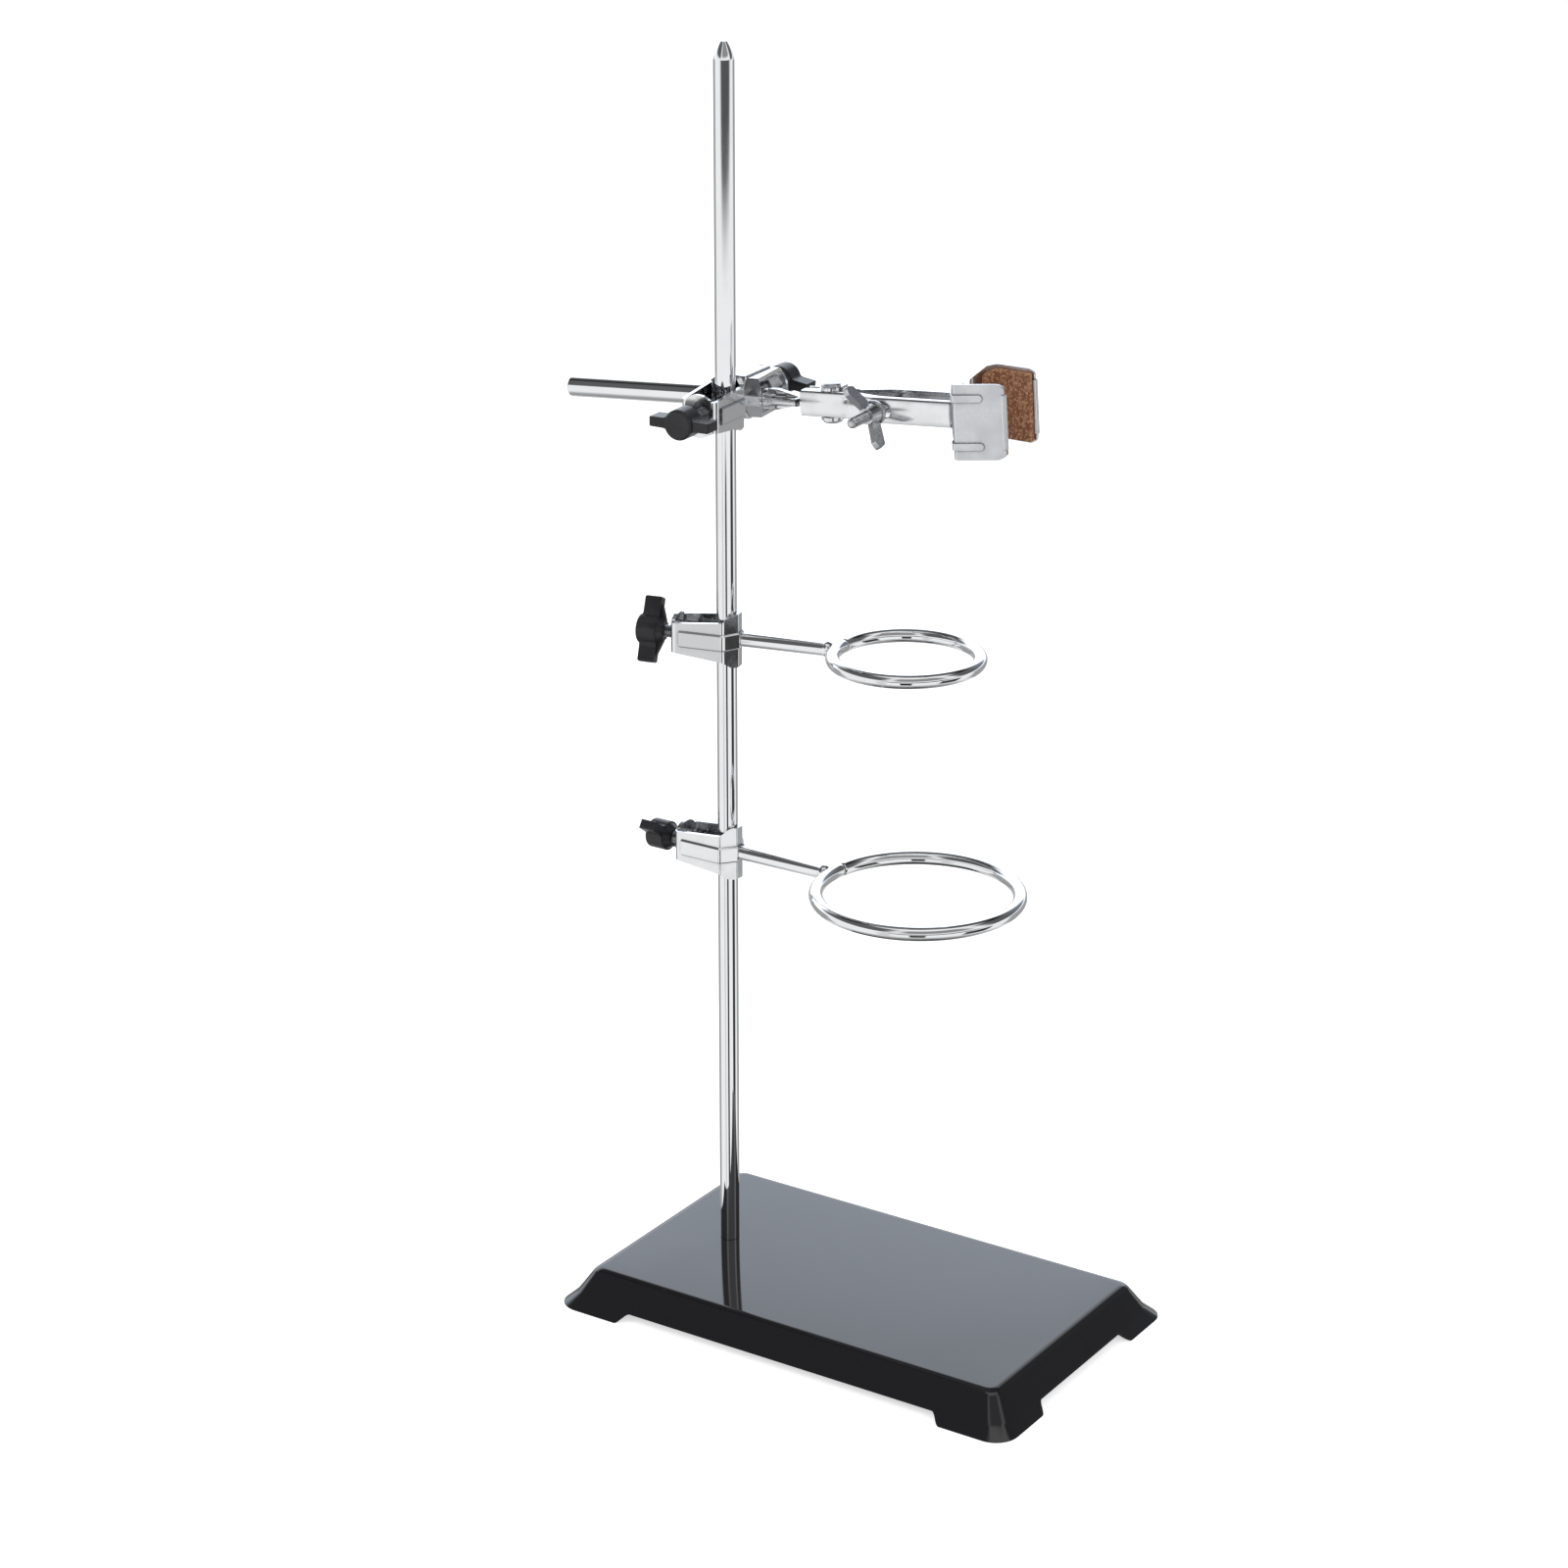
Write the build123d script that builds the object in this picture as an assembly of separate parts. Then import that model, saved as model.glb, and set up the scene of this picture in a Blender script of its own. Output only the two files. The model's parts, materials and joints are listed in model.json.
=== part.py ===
from build123d import *
import os
from math import cos, radians, sin

# A retort stand: a pressed base plate with a screwed-in column, two ring clamps and a jaw clamp.
# Millimetres. The origin is the centre of the base on the bench, +X runs along the base to the
# rings, +Y away from the user and +Z up.

# Base plate
BASE_LENGTH = 210.0
BASE_WIDTH = 130.0
BASE_HEIGHT = 15.0
BASE_SHEET = 1.2
SKIRT_WALL = 1.38
BASE_CORNER = 10.0
BASE_TOP_EDGE = 4.5
SKIRT_SLOPE = 9.8
SKIRT_RAISE = 3.6
FOOT_LENGTH = 30.0
FOOT_FLARE = 1.6
FOOT_BEND_HEIGHT = 4.5
NOTCH_ROUND = 1.5

# Column and its thread in the base
ROD_DIAMETER = 8.0
COLUMN_LENGTH = 500.0
COLUMN_INSET = 42.0
COLUMN_TIP_LENGTH = 6.8
COLUMN_TIP_DIAMETER = 2.5
COLUMN_TIP_SWELL = 0.35
FOOT_THREAD_DIAMETER = 6.0
FOOT_THREAD_LENGTH = 12.0
FOOT_NUT_WIDTH = 10.0
FOOT_NUT_HEIGHT = 5.0
FOOT_WASHER_DIAMETER = 18.0
FOOT_WASHER_THICKNESS = 1.6

# Clearances
THREAD_GAP = 0.05
RUNNING_GAP = 0.1
GRIP_GAP = 0.15
FACE_GAP = 0.1
SWING_GAP = 0.3

# Strap that goes round a rod, the same on all four clamps
STRAP_SHEET = 1.5
STRAP_WIDTH = 15.4
STRAP_BACK = 21.0
STRAP_LEAN = 38.0
WEB_HEIGHT = 12.0
BEND_HEIGHT = 16.0
NOSE_HEIGHT = 21.5
WEB_DISC_RADIUS = 8.3
WEB_CORNER = 2.6
BEND_CORNER = 2.0
NOSE_CORNER = 1.0
RIB_HEIGHT = 6.6
RIB_RAISE = 0.8
RIB_CHAMFER = 0.6
CHEEK_RISE_SHARE = 0.57
CHEEK_ROUND = 1.5

# Thumbscrew and its nut
SCREW_DIAMETER = 5.0
SCREW_NECK = 7.0
SCREW_CHAMFER = 0.7
SCREW_NUT_WIDTH = 8.0
SCREW_NUT_HEIGHT = 4.0
KNOB_SPAN = 26.0
KNOB_HUB_DIAMETER = 11.8
KNOB_HUB_DEPTH = 8.3
KNOB_WING_THICKNESS = 4.2
KNOB_WING_DEPTH = 7.0
KNOB_WING_TAPER = 0.2
KNOB_TIP_ROUND = 0.8
KNOB_HUB_ROUND = 1.2
KNOB_BLEND = 2.6
KNOB_NECK_LENGTH = 2.4
KNOB_NECK_DIAMETER = 7.4
KNOB_NECK_STEP = 0.6
KNOB_GUSSET = 1.8
KNOB_GUSSET_INSET = 2.5
KNOB_GUSSET_SLOPE = 1.6
KNOB_BORE_DEPTH = 6.0

# Support rings
WIRE_DIAMETER = 5.5
SMALL_RING_INNER = 51.0
LARGE_RING_INNER = 73.0
SMALL_ARM_REACH = 45.0
LARGE_ARM_REACH = 48.5
TAIL_DIAMETER = 3.0

# Heights of the clamps on the column and their turns about it
LARGE_RING_Z = 185.0
SMALL_RING_Z = 273.0
BOSS_Z = 366.0
SMALL_RING_TURN = 13.0
LARGE_RING_TURN = 0.0
BOSS_TURN = 4.0
BAR_TILT = 4.0
SMALL_KNOB_TURN = 112.6
LARGE_KNOB_TURN = 35.0
FRONT_KNOB_TURN = 0.0
REAR_KNOB_TURN = 102.0
BOSS_RIVET_DIAMETER = 2.4
RIVET_HEAD = 0.6

# Clamp rod and the neck that is pressed on its end
CLAMP_ROD_BACK = 77.0
CLAMP_ROD_FRONT = 12.0
CLAMP_ROD_CHAMFER = 0.5
CLAMP_SPIGOT_DIAMETER = 5.0
CLAMP_SPIGOT_LENGTH = 8.0
NECK_LENGTH = 14.0
TONGUE_WIDTH = 11.0
TONGUE_THICKNESS = 3.0
TONGUE_WAIST = 3.6
NECK_GROOVE_RADIUS = 2.2
NECK_GROOVE_OFFSET = 0.6
NECK_GROOVE_START = 3.0
NECK_FIN_START = 4.0
NECK_FIN_THICKNESS = 2.2

# Fingers, measured along the rod from the column axis
PIVOT_U = 39.0
PIVOT_DIAMETER = 4.0
PIVOT_HEAD_DIAMETER = 7.6
PIVOT_HEAD_HEIGHT = 1.3
PIVOT_HEAD_ROUND = 1.1
FINGER_START = 28.0
FINGER_END = 93.0
FINGER_SHEET = 1.2
FINGER_HEIGHT = 10.0
FINGER_NEAR = 5.5
FINGER_FAR = 9.3
FINGER_BOW_START = 47.0
FINGER_BOW_END = 61.0
FINGER_BEND = 14.0
FINGER_LIP = 3.5
FINGER_LIP_SHIFT = 2.0
FINGER_ROUND = 2.2
EYE_RADIUS = 3.6
TAB_RADIUS = 4.4
SWING_RELIEF = 2.7
SWING_RELIEF_MARGIN = 3.0

# Adjusting bolt, washer and wing nut
BOLT_U = 63.0
BOLT_DIAMETER = 4.0
BOLT_TIP = 30.0
BOLT_HEAD_WIDTH = 7.0
BOLT_HEAD_HEIGHT = 2.8
BOLT_CHAMFER = 0.5
SLOT_BACK = 4.4
SLOT_FRONT = 5.6
WASHER_DIAMETER = 9.6
WASHER_THICKNESS = 2.8
WASHER_CROWN = 1.6
WING_HUB_DIAMETER = 8.0
WING_HUB_HEIGHT = 5.5
WING_HUB_TAPER = 1.0
WING_ROOT_DEPTH = 1.5
WING_ROOT_LENGTH = 2.5
WING_ROOT_LOW = 0.6
WING_ROOT_HIGH = 0.4
WING_REACH = 13.2
WING_RISE = 6.0
WING_WIDTH = 6.0
WING_THICKNESS = 2.2
WING_TIP_LEAN = 1.0
WING_TIP_LENGTH = 3.0
WING_ROUND = 1.4
WING_ROOT_ROUND = 2.5
WING_TURN = 120.0

# Jaws and their cork liners
JAW_HEIGHT = 28.3
JAW_SHEET = 1.3
JAW_FOLD = 1.2
JAW_BEND_RADIUS = 1.5
JAW_BEND_U = 100.0
JAW_BEND_V = 18.2
JAW_TIP_U = 118.0
JAW_TIP_V = 13.0
JAW_CORNER = 4.0
JAW_ROOT_LENGTH = 8.0
JAW_ROOT_HEIGHT = 6.0
JAW_FLARE = 4.0
JAW_RIM_DIAMETER = 2.4
JAW_RIM_INSET = 0.4
JAW_NECK_START = 0.2
JAW_NECK_END = 1.0
JAW_RIB_W = 9.0
JAW_RIB_WIDTH = 2.7
JAW_RIB_RAISE = 0.7
JAW_RIB_START = 96.0
JAW_RIB_END = 110.5
CORK_THICKNESS = 3.5
CORK_HEIGHT = 26.0
CORK_START = 98.6
CORK_CORNER = 2.0

# Worked out from the sizes above
COLUMN_X = COLUMN_INSET - BASE_LENGTH / 2
ROD_RADIUS = ROD_DIAMETER / 2
WIRE_RADIUS = WIRE_DIAMETER / 2
NOSE_REACH = ROD_RADIUS + GRIP_GAP + STRAP_SHEET
NOSE_FACE = NOSE_REACH + RIB_RAISE
ROD_SPACING = 2 * NOSE_FACE + FACE_GAP
FINGER_HALF = FINGER_HEIGHT / 2
FINGER_INSIDE = FINGER_HALF - FINGER_SHEET
JAW_ROOT_V = FINGER_FAR - FINGER_SHEET - JAW_SHEET / 2
FAR = 60.0


def about_x(solid, low=0.0):
    """Turn a solid that stands on the XY plane so that its height runs along +X from low."""
    return Pos(low, 0, 0) * Rot(0, 90, 0) * solid


def bar(diameter, low, high):
    """A round bar along X between two places."""
    return about_x(Pos(0, 0, (high - low) / 2) * Cylinder(diameter / 2, high - low), low)


def block(x_low, x_high, y_low, y_high, z_low, z_high):
    """A box between the given faces."""
    middle = ((x_low + x_high) / 2, (y_low + y_high) / 2, (z_low + z_high) / 2)
    return Pos(*middle) * Box(x_high - x_low, y_high - y_low, z_high - z_low)


def parallel(points, distance):
    """The corners of an open line moved to its left, with the corners kept sharp."""
    steps = [(Vector(*b) - Vector(*a)).normalized() for a, b in zip(points, points[1:])]
    sides = [Vector(-step.Y, step.X) for step in steps]
    moved = []
    for number, point in enumerate(points):
        middle = sides[max(number - 1, 0)] + sides[min(number, len(sides) - 1)]
        moved.append(Vector(*point) + middle * (2 * distance / middle.dot(middle)))
    return moved


def strip(points, low, high, bend=0.0):
    """The face between two lines parallel to an open line, with its bends rounded."""
    edge = [0.0] + [bend] * (len(points) - 2) + [0.0]
    corners = parallel(points, low) + parallel(points, high)[::-1]
    if bend:
        return make_face(FilletPolyline(*corners, radius=edge + edge, close=True))
    return make_face(Polyline(*corners, close=True))


def hexagon(width, height):
    """A hexagonal prism that stands on the XY plane, with its top and bottom corners taken off."""
    prism = extrude(RegularPolygon(width / 2, 6, major_radius=False), height)
    corner = width / 2 / cos(radians(30))
    turned = Pos(0, 0, height / 2) * Cylinder(corner, height)
    return prism & chamfer(turned.edges(), (corner - width / 2) * 0.6)


def base_section(inset, height):
    """A rounded rectangle of the base plate, some way inside its footprint."""
    corner = max(BASE_CORNER - inset / 2, 1.0)
    outline = RectangleRounded(BASE_LENGTH - 2 * inset, BASE_WIDTH - 2 * inset, corner)
    return Pos(0, 0, height) * outline


def base_form(inset, top):
    """The solid under the outer or the inner surface of the base plate."""
    bend = SKIRT_SLOPE * FOOT_BEND_HEIGHT / BASE_HEIGHT + FOOT_FLARE
    foot = [base_section(inset, 0), base_section(inset + bend, FOOT_BEND_HEIGHT)]
    rim = inset + SKIRT_SLOPE + FOOT_FLARE
    skirt = [base_section(inset + bend, FOOT_BEND_HEIGHT), base_section(rim, top)]
    return loft(foot, ruled=True) + loft(skirt, ruled=True)


def skirt_notch(length, width):
    """The cut that leaves the skirt raised between two feet, through both opposite sides."""
    half = length / 2 - FOOT_LENGTH
    line = [(-half, -1), (-half, 0), (-half + SKIRT_RAISE, SKIRT_RAISE)]
    line += [(half - SKIRT_RAISE, SKIRT_RAISE), (half, 0), (half, -1)]
    radii = [0, *[NOTCH_ROUND] * 4, 0]
    face = make_face(FilletPolyline(*line, radius=radii, close=True))
    return extrude(Plane.XZ * face, width, both=True)


def base_plate():
    """The pressed cover that is the foot of the stand, open underneath."""
    outer = base_form(0, BASE_HEIGHT)
    top = outer.edges().filter_by(lambda edge: edge.bounding_box().min.Z > BASE_HEIGHT - 0.01)
    outer = fillet(top, BASE_TOP_EDGE)
    shell = outer - base_form(SKIRT_WALL, BASE_HEIGHT - BASE_SHEET)
    shell -= skirt_notch(BASE_LENGTH, BASE_WIDTH)
    shell -= Rot(0, 0, 90) * skirt_notch(BASE_WIDTH, BASE_LENGTH)
    hole = Cylinder(FOOT_THREAD_DIAMETER / 2 + THREAD_GAP, 4 * BASE_HEIGHT)
    return shell - Pos(COLUMN_X, 0, 0) * hole


def column_rod():
    """The column, with a reduced thread at its foot and a blunt rounded point at its top."""
    shoulder = BASE_HEIGHT
    top = shoulder + COLUMN_LENGTH - FOOT_THREAD_LENGTH
    tip = COLUMN_TIP_DIAMETER / 2
    neck = top - COLUMN_TIP_LENGTH
    swell = (ROD_RADIUS + tip) / 2 + COLUMN_TIP_SWELL
    foot, reduced = shoulder - FOOT_THREAD_LENGTH, FOOT_THREAD_DIAMETER / 2
    side = [(0, top), (0, foot), (reduced, foot), (reduced, shoulder)]
    side += [(ROD_RADIUS, shoulder), (ROD_RADIUS, neck)]
    nose = ThreePointArc((ROD_RADIUS, neck), (swell, neck + COLUMN_TIP_LENGTH / 2), (tip, top))
    face = make_face([*Polyline(*side).edges(), nose, Line((tip, top), (0, top))])
    return Pos(COLUMN_X, 0, 0) * revolve(Plane.XZ * face, Axis.Z)


def column_fasteners():
    """The washer and the nut that hold the column from below."""
    bore = Cylinder(FOOT_THREAD_DIAMETER / 2 + THREAD_GAP, 4 * BASE_HEIGHT)
    under = BASE_HEIGHT - BASE_SHEET
    disc = Cylinder(FOOT_WASHER_DIAMETER / 2, FOOT_WASHER_THICKNESS)
    washer = Pos(0, 0, under - FOOT_WASHER_THICKNESS / 2) * disc
    below = under - FOOT_WASHER_THICKNESS - FOOT_NUT_HEIGHT
    nut = Pos(0, 0, below) * hexagon(FOOT_NUT_WIDTH, FOOT_NUT_HEIGHT)
    place = Pos(COLUMN_X, 0, 0)
    return place * (washer - bore), place * (nut - bore)


def strap_outline(inset):
    """The strap seen along its rod, some way inside its outer surface. The rod is at the origin."""
    lean = radians(STRAP_LEAN)
    half = STRAP_WIDTH / 2 - inset
    back = inset - STRAP_BACK
    reach = NOSE_REACH - inset
    nose = reach * (1 - cos(lean)) / sin(lean)
    bend = (reach - half * sin(lean)) / cos(lean)
    corners = [(back, -half), (bend, -half), (reach, -nose), (reach, nose), (bend, half), (back, half)]
    radii = [WEB_CORNER, BEND_CORNER, NOSE_CORNER, NOSE_CORNER, BEND_CORNER, WEB_CORNER]
    radii = [max(radius - inset, 0.3) for radius in radii]
    return make_face(FilletPolyline(*corners, radius=radii, close=True))


def strap_side():
    """The strap seen from the side: low at the web, tall at the nose."""
    lean = radians(STRAP_LEAN)
    bend = (NOSE_REACH - STRAP_WIDTH / 2 * sin(lean)) / cos(lean)
    tall = bend + CHEEK_RISE_SHARE * (NOSE_REACH - bend)
    upper = [(-STRAP_BACK - 1, WEB_HEIGHT / 2), (STRAP_SHEET - STRAP_BACK, WEB_HEIGHT / 2)]
    upper += [(bend, BEND_HEIGHT / 2), (tall, NOSE_HEIGHT / 2), (NOSE_FACE + 1, NOSE_HEIGHT / 2)]
    lower = [(x, -z) for x, z in reversed(upper)]
    radii = [0, 0, CHEEK_ROUND, CHEEK_ROUND, 0]
    face = make_face(FilletPolyline(*upper, *lower, radius=radii + radii[::-1], close=True))
    return extrude(Plane.XZ * face, STRAP_WIDTH, both=True)


def strap(tail_diameter):
    """The sheet strap with its screw hole, its tail hole and the raised band round its sides."""
    outside = extrude(strap_outline(0), NOSE_HEIGHT / 2, both=True)
    inside = extrude(strap_outline(STRAP_SHEET), NOSE_HEIGHT, both=True)
    rib = extrude(strap_outline(-RIB_RAISE), RIB_HEIGHT / 2, both=True)
    ends = rib.edges().filter_by(lambda edge: abs(abs(edge.center().Z) - RIB_HEIGHT / 2) < 0.01)
    rib = chamfer(ends, RIB_CHAMFER)
    rib_start = WEB_CORNER + STRAP_SHEET - STRAP_BACK
    front = block(rib_start, FAR, -FAR, FAR, -FAR, FAR)
    groove = extrude(strap_outline(STRAP_SHEET - RIB_RAISE), RIB_HEIGHT / 2 - RIB_RAISE, both=True)
    disc = bar(2 * WEB_DISC_RADIUS, -STRAP_BACK, STRAP_SHEET - STRAP_BACK)
    flat = STRAP_WIDTH / 2 - WEB_CORNER
    tab = disc & block(-FAR, 0, -flat, flat, -FAR, FAR)
    body = ((outside + (rib & front)) & strap_side()) - inside - (groove & front) + tab
    body -= bar(SCREW_DIAMETER + 2 * THREAD_GAP, -FAR, 0)
    return body - bar(tail_diameter, 0, FAR)


def strap_nut():
    """The nut behind the strap's web."""
    nut = about_x(hexagon(SCREW_NUT_WIDTH, SCREW_NUT_HEIGHT), STRAP_SHEET - STRAP_BACK)
    return nut - bar(SCREW_DIAMETER + 2 * THREAD_GAP, -FAR, 0)


def thumbscrew():
    """The threaded shank, from the rod that it presses on to the bottom of the knob's bore."""
    tip = -ROD_RADIUS - RUNNING_GAP
    end = -STRAP_BACK - SCREW_NECK - KNOB_BORE_DEPTH
    shank = bar(SCREW_DIAMETER, end, tip)
    front = shank.faces().sort_by(Axis.X)[-1]
    return chamfer(front.edges(), SCREW_CHAMFER)


def knob(turn):
    """The two-winged moulded knob on the shank, with its wings turned about the shank."""
    span = make_face(Polyline(*wing_corners(), close=True))
    plan = span + Circle(KNOB_HUB_DIAMETER / 2)
    notch = plan.vertices().filter_by(lambda v: abs(v.Y) < KNOB_SPAN / 4)
    plan = fillet(notch, KNOB_BLEND)
    wings = extrude(plan, KNOB_WING_DEPTH)
    tips = wings.edges().filter_by(lambda edge: abs(edge.center().Y) > KNOB_SPAN / 2 - 0.1)
    wings = fillet(tips, KNOB_TIP_ROUND)
    hub = Pos(0, 0, KNOB_HUB_DEPTH / 2) * Cylinder(KNOB_HUB_DIAMETER / 2, KNOB_HUB_DEPTH)
    hub = fillet(hub.edges().sort_by(Axis.Z)[-1], KNOB_HUB_ROUND)
    neck = Pos(0, 0, -KNOB_NECK_LENGTH / 2) * Cone(
        KNOB_NECK_DIAMETER / 2, KNOB_HUB_DIAMETER / 2 - KNOB_NECK_STEP, KNOB_NECK_LENGTH
    )
    foot = KNOB_SPAN / 2 - KNOB_GUSSET_INSET
    rib = [(foot, 0), (-foot, 0), (0, -KNOB_NECK_LENGTH * KNOB_GUSSET_SLOPE)]
    beside_neck = Pos(0, -KNOB_NECK_LENGTH / 2) * Rectangle(FAR, KNOB_NECK_LENGTH)
    gusset = make_face(Polyline(*rib, close=True)) & beside_neck
    ribs = extrude(Plane.YZ * gusset, KNOB_GUSSET / 2, both=True)
    bore = Pos(0, 0, KNOB_BORE_DEPTH / 2 - FAR / 2) * Cylinder(
        SCREW_DIAMETER / 2 + THREAD_GAP, KNOB_BORE_DEPTH + FAR
    )
    body = Rot(0, 0, turn) * (wings + hub + neck + ribs - bore)
    return Pos(-STRAP_BACK - SCREW_NECK, 0, 0) * Rot(0, -90, 0) * body


def wing_corners():
    """The corners of the knob's wings in plan, a little narrower towards the tips."""
    half, root = KNOB_SPAN / 2, KNOB_WING_THICKNESS / 2
    end = root - KNOB_WING_TAPER
    return [(-end, -half), (end, -half), (root, 0), (end, half), (-end, half), (-root, 0)]


def ring(inner, reach):
    """The arm of a support ring and its hoop."""
    centre = reach + inner / 2 + WIRE_RADIUS
    hoop = Pos(centre, 0, 0) * Torus(inner / 2 + WIRE_RADIUS, WIRE_RADIUS)
    arm = bar(WIRE_DIAMETER, NOSE_FACE, reach) - hoop
    arm = arm.solids().sort_by(Axis.X)[0]
    tail = bar(TAIL_DIAMETER, NOSE_FACE - STRAP_SHEET, NOSE_FACE)
    return arm + tail, hoop


def clamp_place(height, turn):
    """The frame of a clamp on the column, with its nose along a direction about the column."""
    direction = (cos(radians(turn)), sin(radians(turn)), 0)
    return Plane(origin=(COLUMN_X, 0, height), x_dir=direction, z_dir=(0, 0, 1)).location


def clamp_parts(name, tail_diameter, knob_turn):
    """The four pieces that every clamp has, with the clamped rod along Z at the origin."""
    return {
        f"{name}_strap": strap(tail_diameter),
        f"{name}_nut": strap_nut(),
        f"{name}_screw": thumbscrew(),
        f"{name}_knob": knob(knob_turn),
    }


def ring_clamp(name, height, turn, inner, reach, knob_turn):
    """One ring clamp in its place on the column."""
    parts = clamp_parts(name, TAIL_DIAMETER, knob_turn)
    parts[f"{name}_arm"], parts[f"{name}_hoop"] = ring(inner, reach)
    place = clamp_place(height, turn)
    return {node: place * solid for node, solid in parts.items()}


def bar_place():
    """The frame of the clamp rod: X along the rod to the jaws, Y to the back."""
    turn, tilt = radians(BOSS_TURN), radians(BAR_TILT)
    back = Vector(-sin(turn), cos(turn), 0)
    along = Vector(cos(turn) * cos(tilt), sin(turn) * cos(tilt), sin(tilt))
    origin = Vector(COLUMN_X, 0, BOSS_Z) + back * ROD_SPACING
    return Plane(origin=origin, x_dir=along, z_dir=along.cross(back)).location


def boss():
    """The two straps nose to nose, one on the column and one on the clamp rod, and their rivet."""
    front = clamp_place(BOSS_Z, BOSS_TURN + 90)
    rear = bar_place() * Plane(origin=(0, 0, 0), x_dir=(0, -1, 0), z_dir=(1, 0, 0)).location
    tail = BOSS_RIVET_DIAMETER + 2 * THREAD_GAP
    nodes = {}
    for node, solid in clamp_parts("boss_front", tail, FRONT_KNOB_TURN).items():
        nodes[node] = front * solid
    for node, solid in clamp_parts("boss_rear", tail, REAR_KNOB_TURN).items():
        nodes[node] = rear * solid
    inner = NOSE_FACE - STRAP_SHEET
    shank = bar(BOSS_RIVET_DIAMETER, inner, ROD_SPACING - inner)
    head = bar(TAIL_DIAMETER, inner - RIVET_HEAD, inner)
    far_head = bar(TAIL_DIAMETER, ROD_SPACING - inner, ROD_SPACING - inner + RIVET_HEAD)
    nodes["boss_rivet"] = front * (shank + head + far_head)
    return nodes


def clamp_rod():
    """The rod of the jaw clamp, with the spigot that its neck is pressed on."""
    shaft = bar(ROD_DIAMETER, -CLAMP_ROD_BACK, CLAMP_ROD_FRONT)
    shaft = chamfer(shaft.faces().sort_by(Axis.X)[0].edges(), CLAMP_ROD_CHAMFER)
    spigot = bar(CLAMP_SPIGOT_DIAMETER, CLAMP_ROD_FRONT, CLAMP_ROD_FRONT + CLAMP_SPIGOT_LENGTH)
    return shaft + spigot


def gripper_neck():
    """The folded neck on the rod's end, which flattens into the tongue that carries the pivot."""
    start, end = CLAMP_ROD_FRONT + FACE_GAP, CLAMP_ROD_FRONT + NECK_LENGTH
    round_end = Plane(origin=(start, 0, 0), z_dir=(1, 0, 0), x_dir=(0, 1, 0)) * Circle(ROD_RADIUS)
    flat_end = Plane(origin=(end, 0, 0), z_dir=(1, 0, 0), x_dir=(0, 1, 0)) * SlotOverall(
        TONGUE_WIDTH, TONGUE_THICKNESS
    )
    neck = loft([round_end, flat_end])
    slope = start + NECK_FIN_START
    fin = [(start, -ROD_RADIUS), (start, ROD_RADIUS), (slope, ROD_RADIUS)]
    fin += [(end, TONGUE_THICKNESS / 2), (end, -TONGUE_THICKNESS / 2), (slope, -ROD_RADIUS)]
    neck += extrude(Plane.XZ * make_face(Polyline(*fin, close=True)), NECK_FIN_THICKNESS / 2, both=True)
    for side in (-1, 1):
        for edge in (-1, 1):
            away = (ROD_RADIUS + NECK_GROOVE_OFFSET) * cos(radians(45))
            groove = bar(2 * NECK_GROOVE_RADIUS, start + NECK_GROOVE_START, end + 1)
            neck -= Pos(0, side * away, edge * away) * groove
    eye = PIVOT_U - EYE_RADIUS / 2
    waist = FINGER_START - 1
    half, slim = TONGUE_WIDTH / 2, TONGUE_WAIST / 2
    plan = [(end - 1, -half + 1), (end - 1, half - 1), (waist - 1, half - 1), (waist, slim)]
    plan += [(eye, slim), (eye, -slim), (waist, -slim), (waist - 1, 1 - half)]
    tongue = extrude(make_face(Polyline(*plan, close=True)), TONGUE_THICKNESS / 2, both=True)
    collar = Pos(PIVOT_U, 0, 0) * Cylinder(EYE_RADIUS, 2 * (FINGER_INSIDE - FACE_GAP))
    body = neck + tongue + collar
    body -= bar(CLAMP_SPIGOT_DIAMETER + 2 * THREAD_GAP, 0, CLAMP_ROD_FRONT + CLAMP_SPIGOT_LENGTH + FACE_GAP)
    return body - Pos(PIVOT_U, 0, 0) * Cylinder(PIVOT_DIAMETER / 2 + THREAD_GAP, FAR)


def finger_line():
    """The outer face of the back finger in plan, from its start to its jaw."""
    near = [(FINGER_START, FINGER_NEAR), (FINGER_BOW_START, FINGER_NEAR)]
    return near + [(FINGER_BOW_END, FINGER_FAR), (FINGER_END, FINGER_FAR)]


def finger_channel():
    """The channel of the back finger, open towards the other finger, before its eyes."""
    line = finger_line()
    meeting = [(FINGER_START, FACE_GAP), (FINGER_BOW_START - FINGER_LIP_SHIFT, FACE_GAP)]
    lip = FINGER_FAR - FINGER_LIP
    meeting += [(FINGER_BOW_END + FINGER_LIP_SHIFT, lip), (FINGER_END, lip)]
    radii = [0, FINGER_BEND, FINGER_BEND, 0] * 2
    plan = make_face(FilletPolyline(*line, *reversed(meeting), radius=radii, close=True))
    solid = extrude(plan, FINGER_HALF, both=True)
    outer = FilletPolyline(*line, radius=FINGER_BEND)
    faces = (FINGER_HALF, -FINGER_HALF)
    lines = [Pos(0, 0, face) * outer for face in faces]
    long_edges = [
        edge for edge in solid.edges()
        if min(line.distance_to(Vertex(*edge.center())) for line in lines) < 0.05
    ]
    solid = fillet(long_edges, FINGER_ROUND)
    inner = parallel(line, -FINGER_SHEET)
    cavity = [(FINGER_START - 1, -FAR), inner[0] - Vector(1, 0), *inner[1:3], inner[3] + Vector(1, 0)]
    cavity += [(FINGER_END + 1, -FAR)]
    hollow = make_face(FilletPolyline(*cavity, radius=[0, 0, FINGER_BEND, FINGER_BEND, 0, 0], close=True))
    return solid - extrude(hollow, FINGER_INSIDE, both=True)


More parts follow.
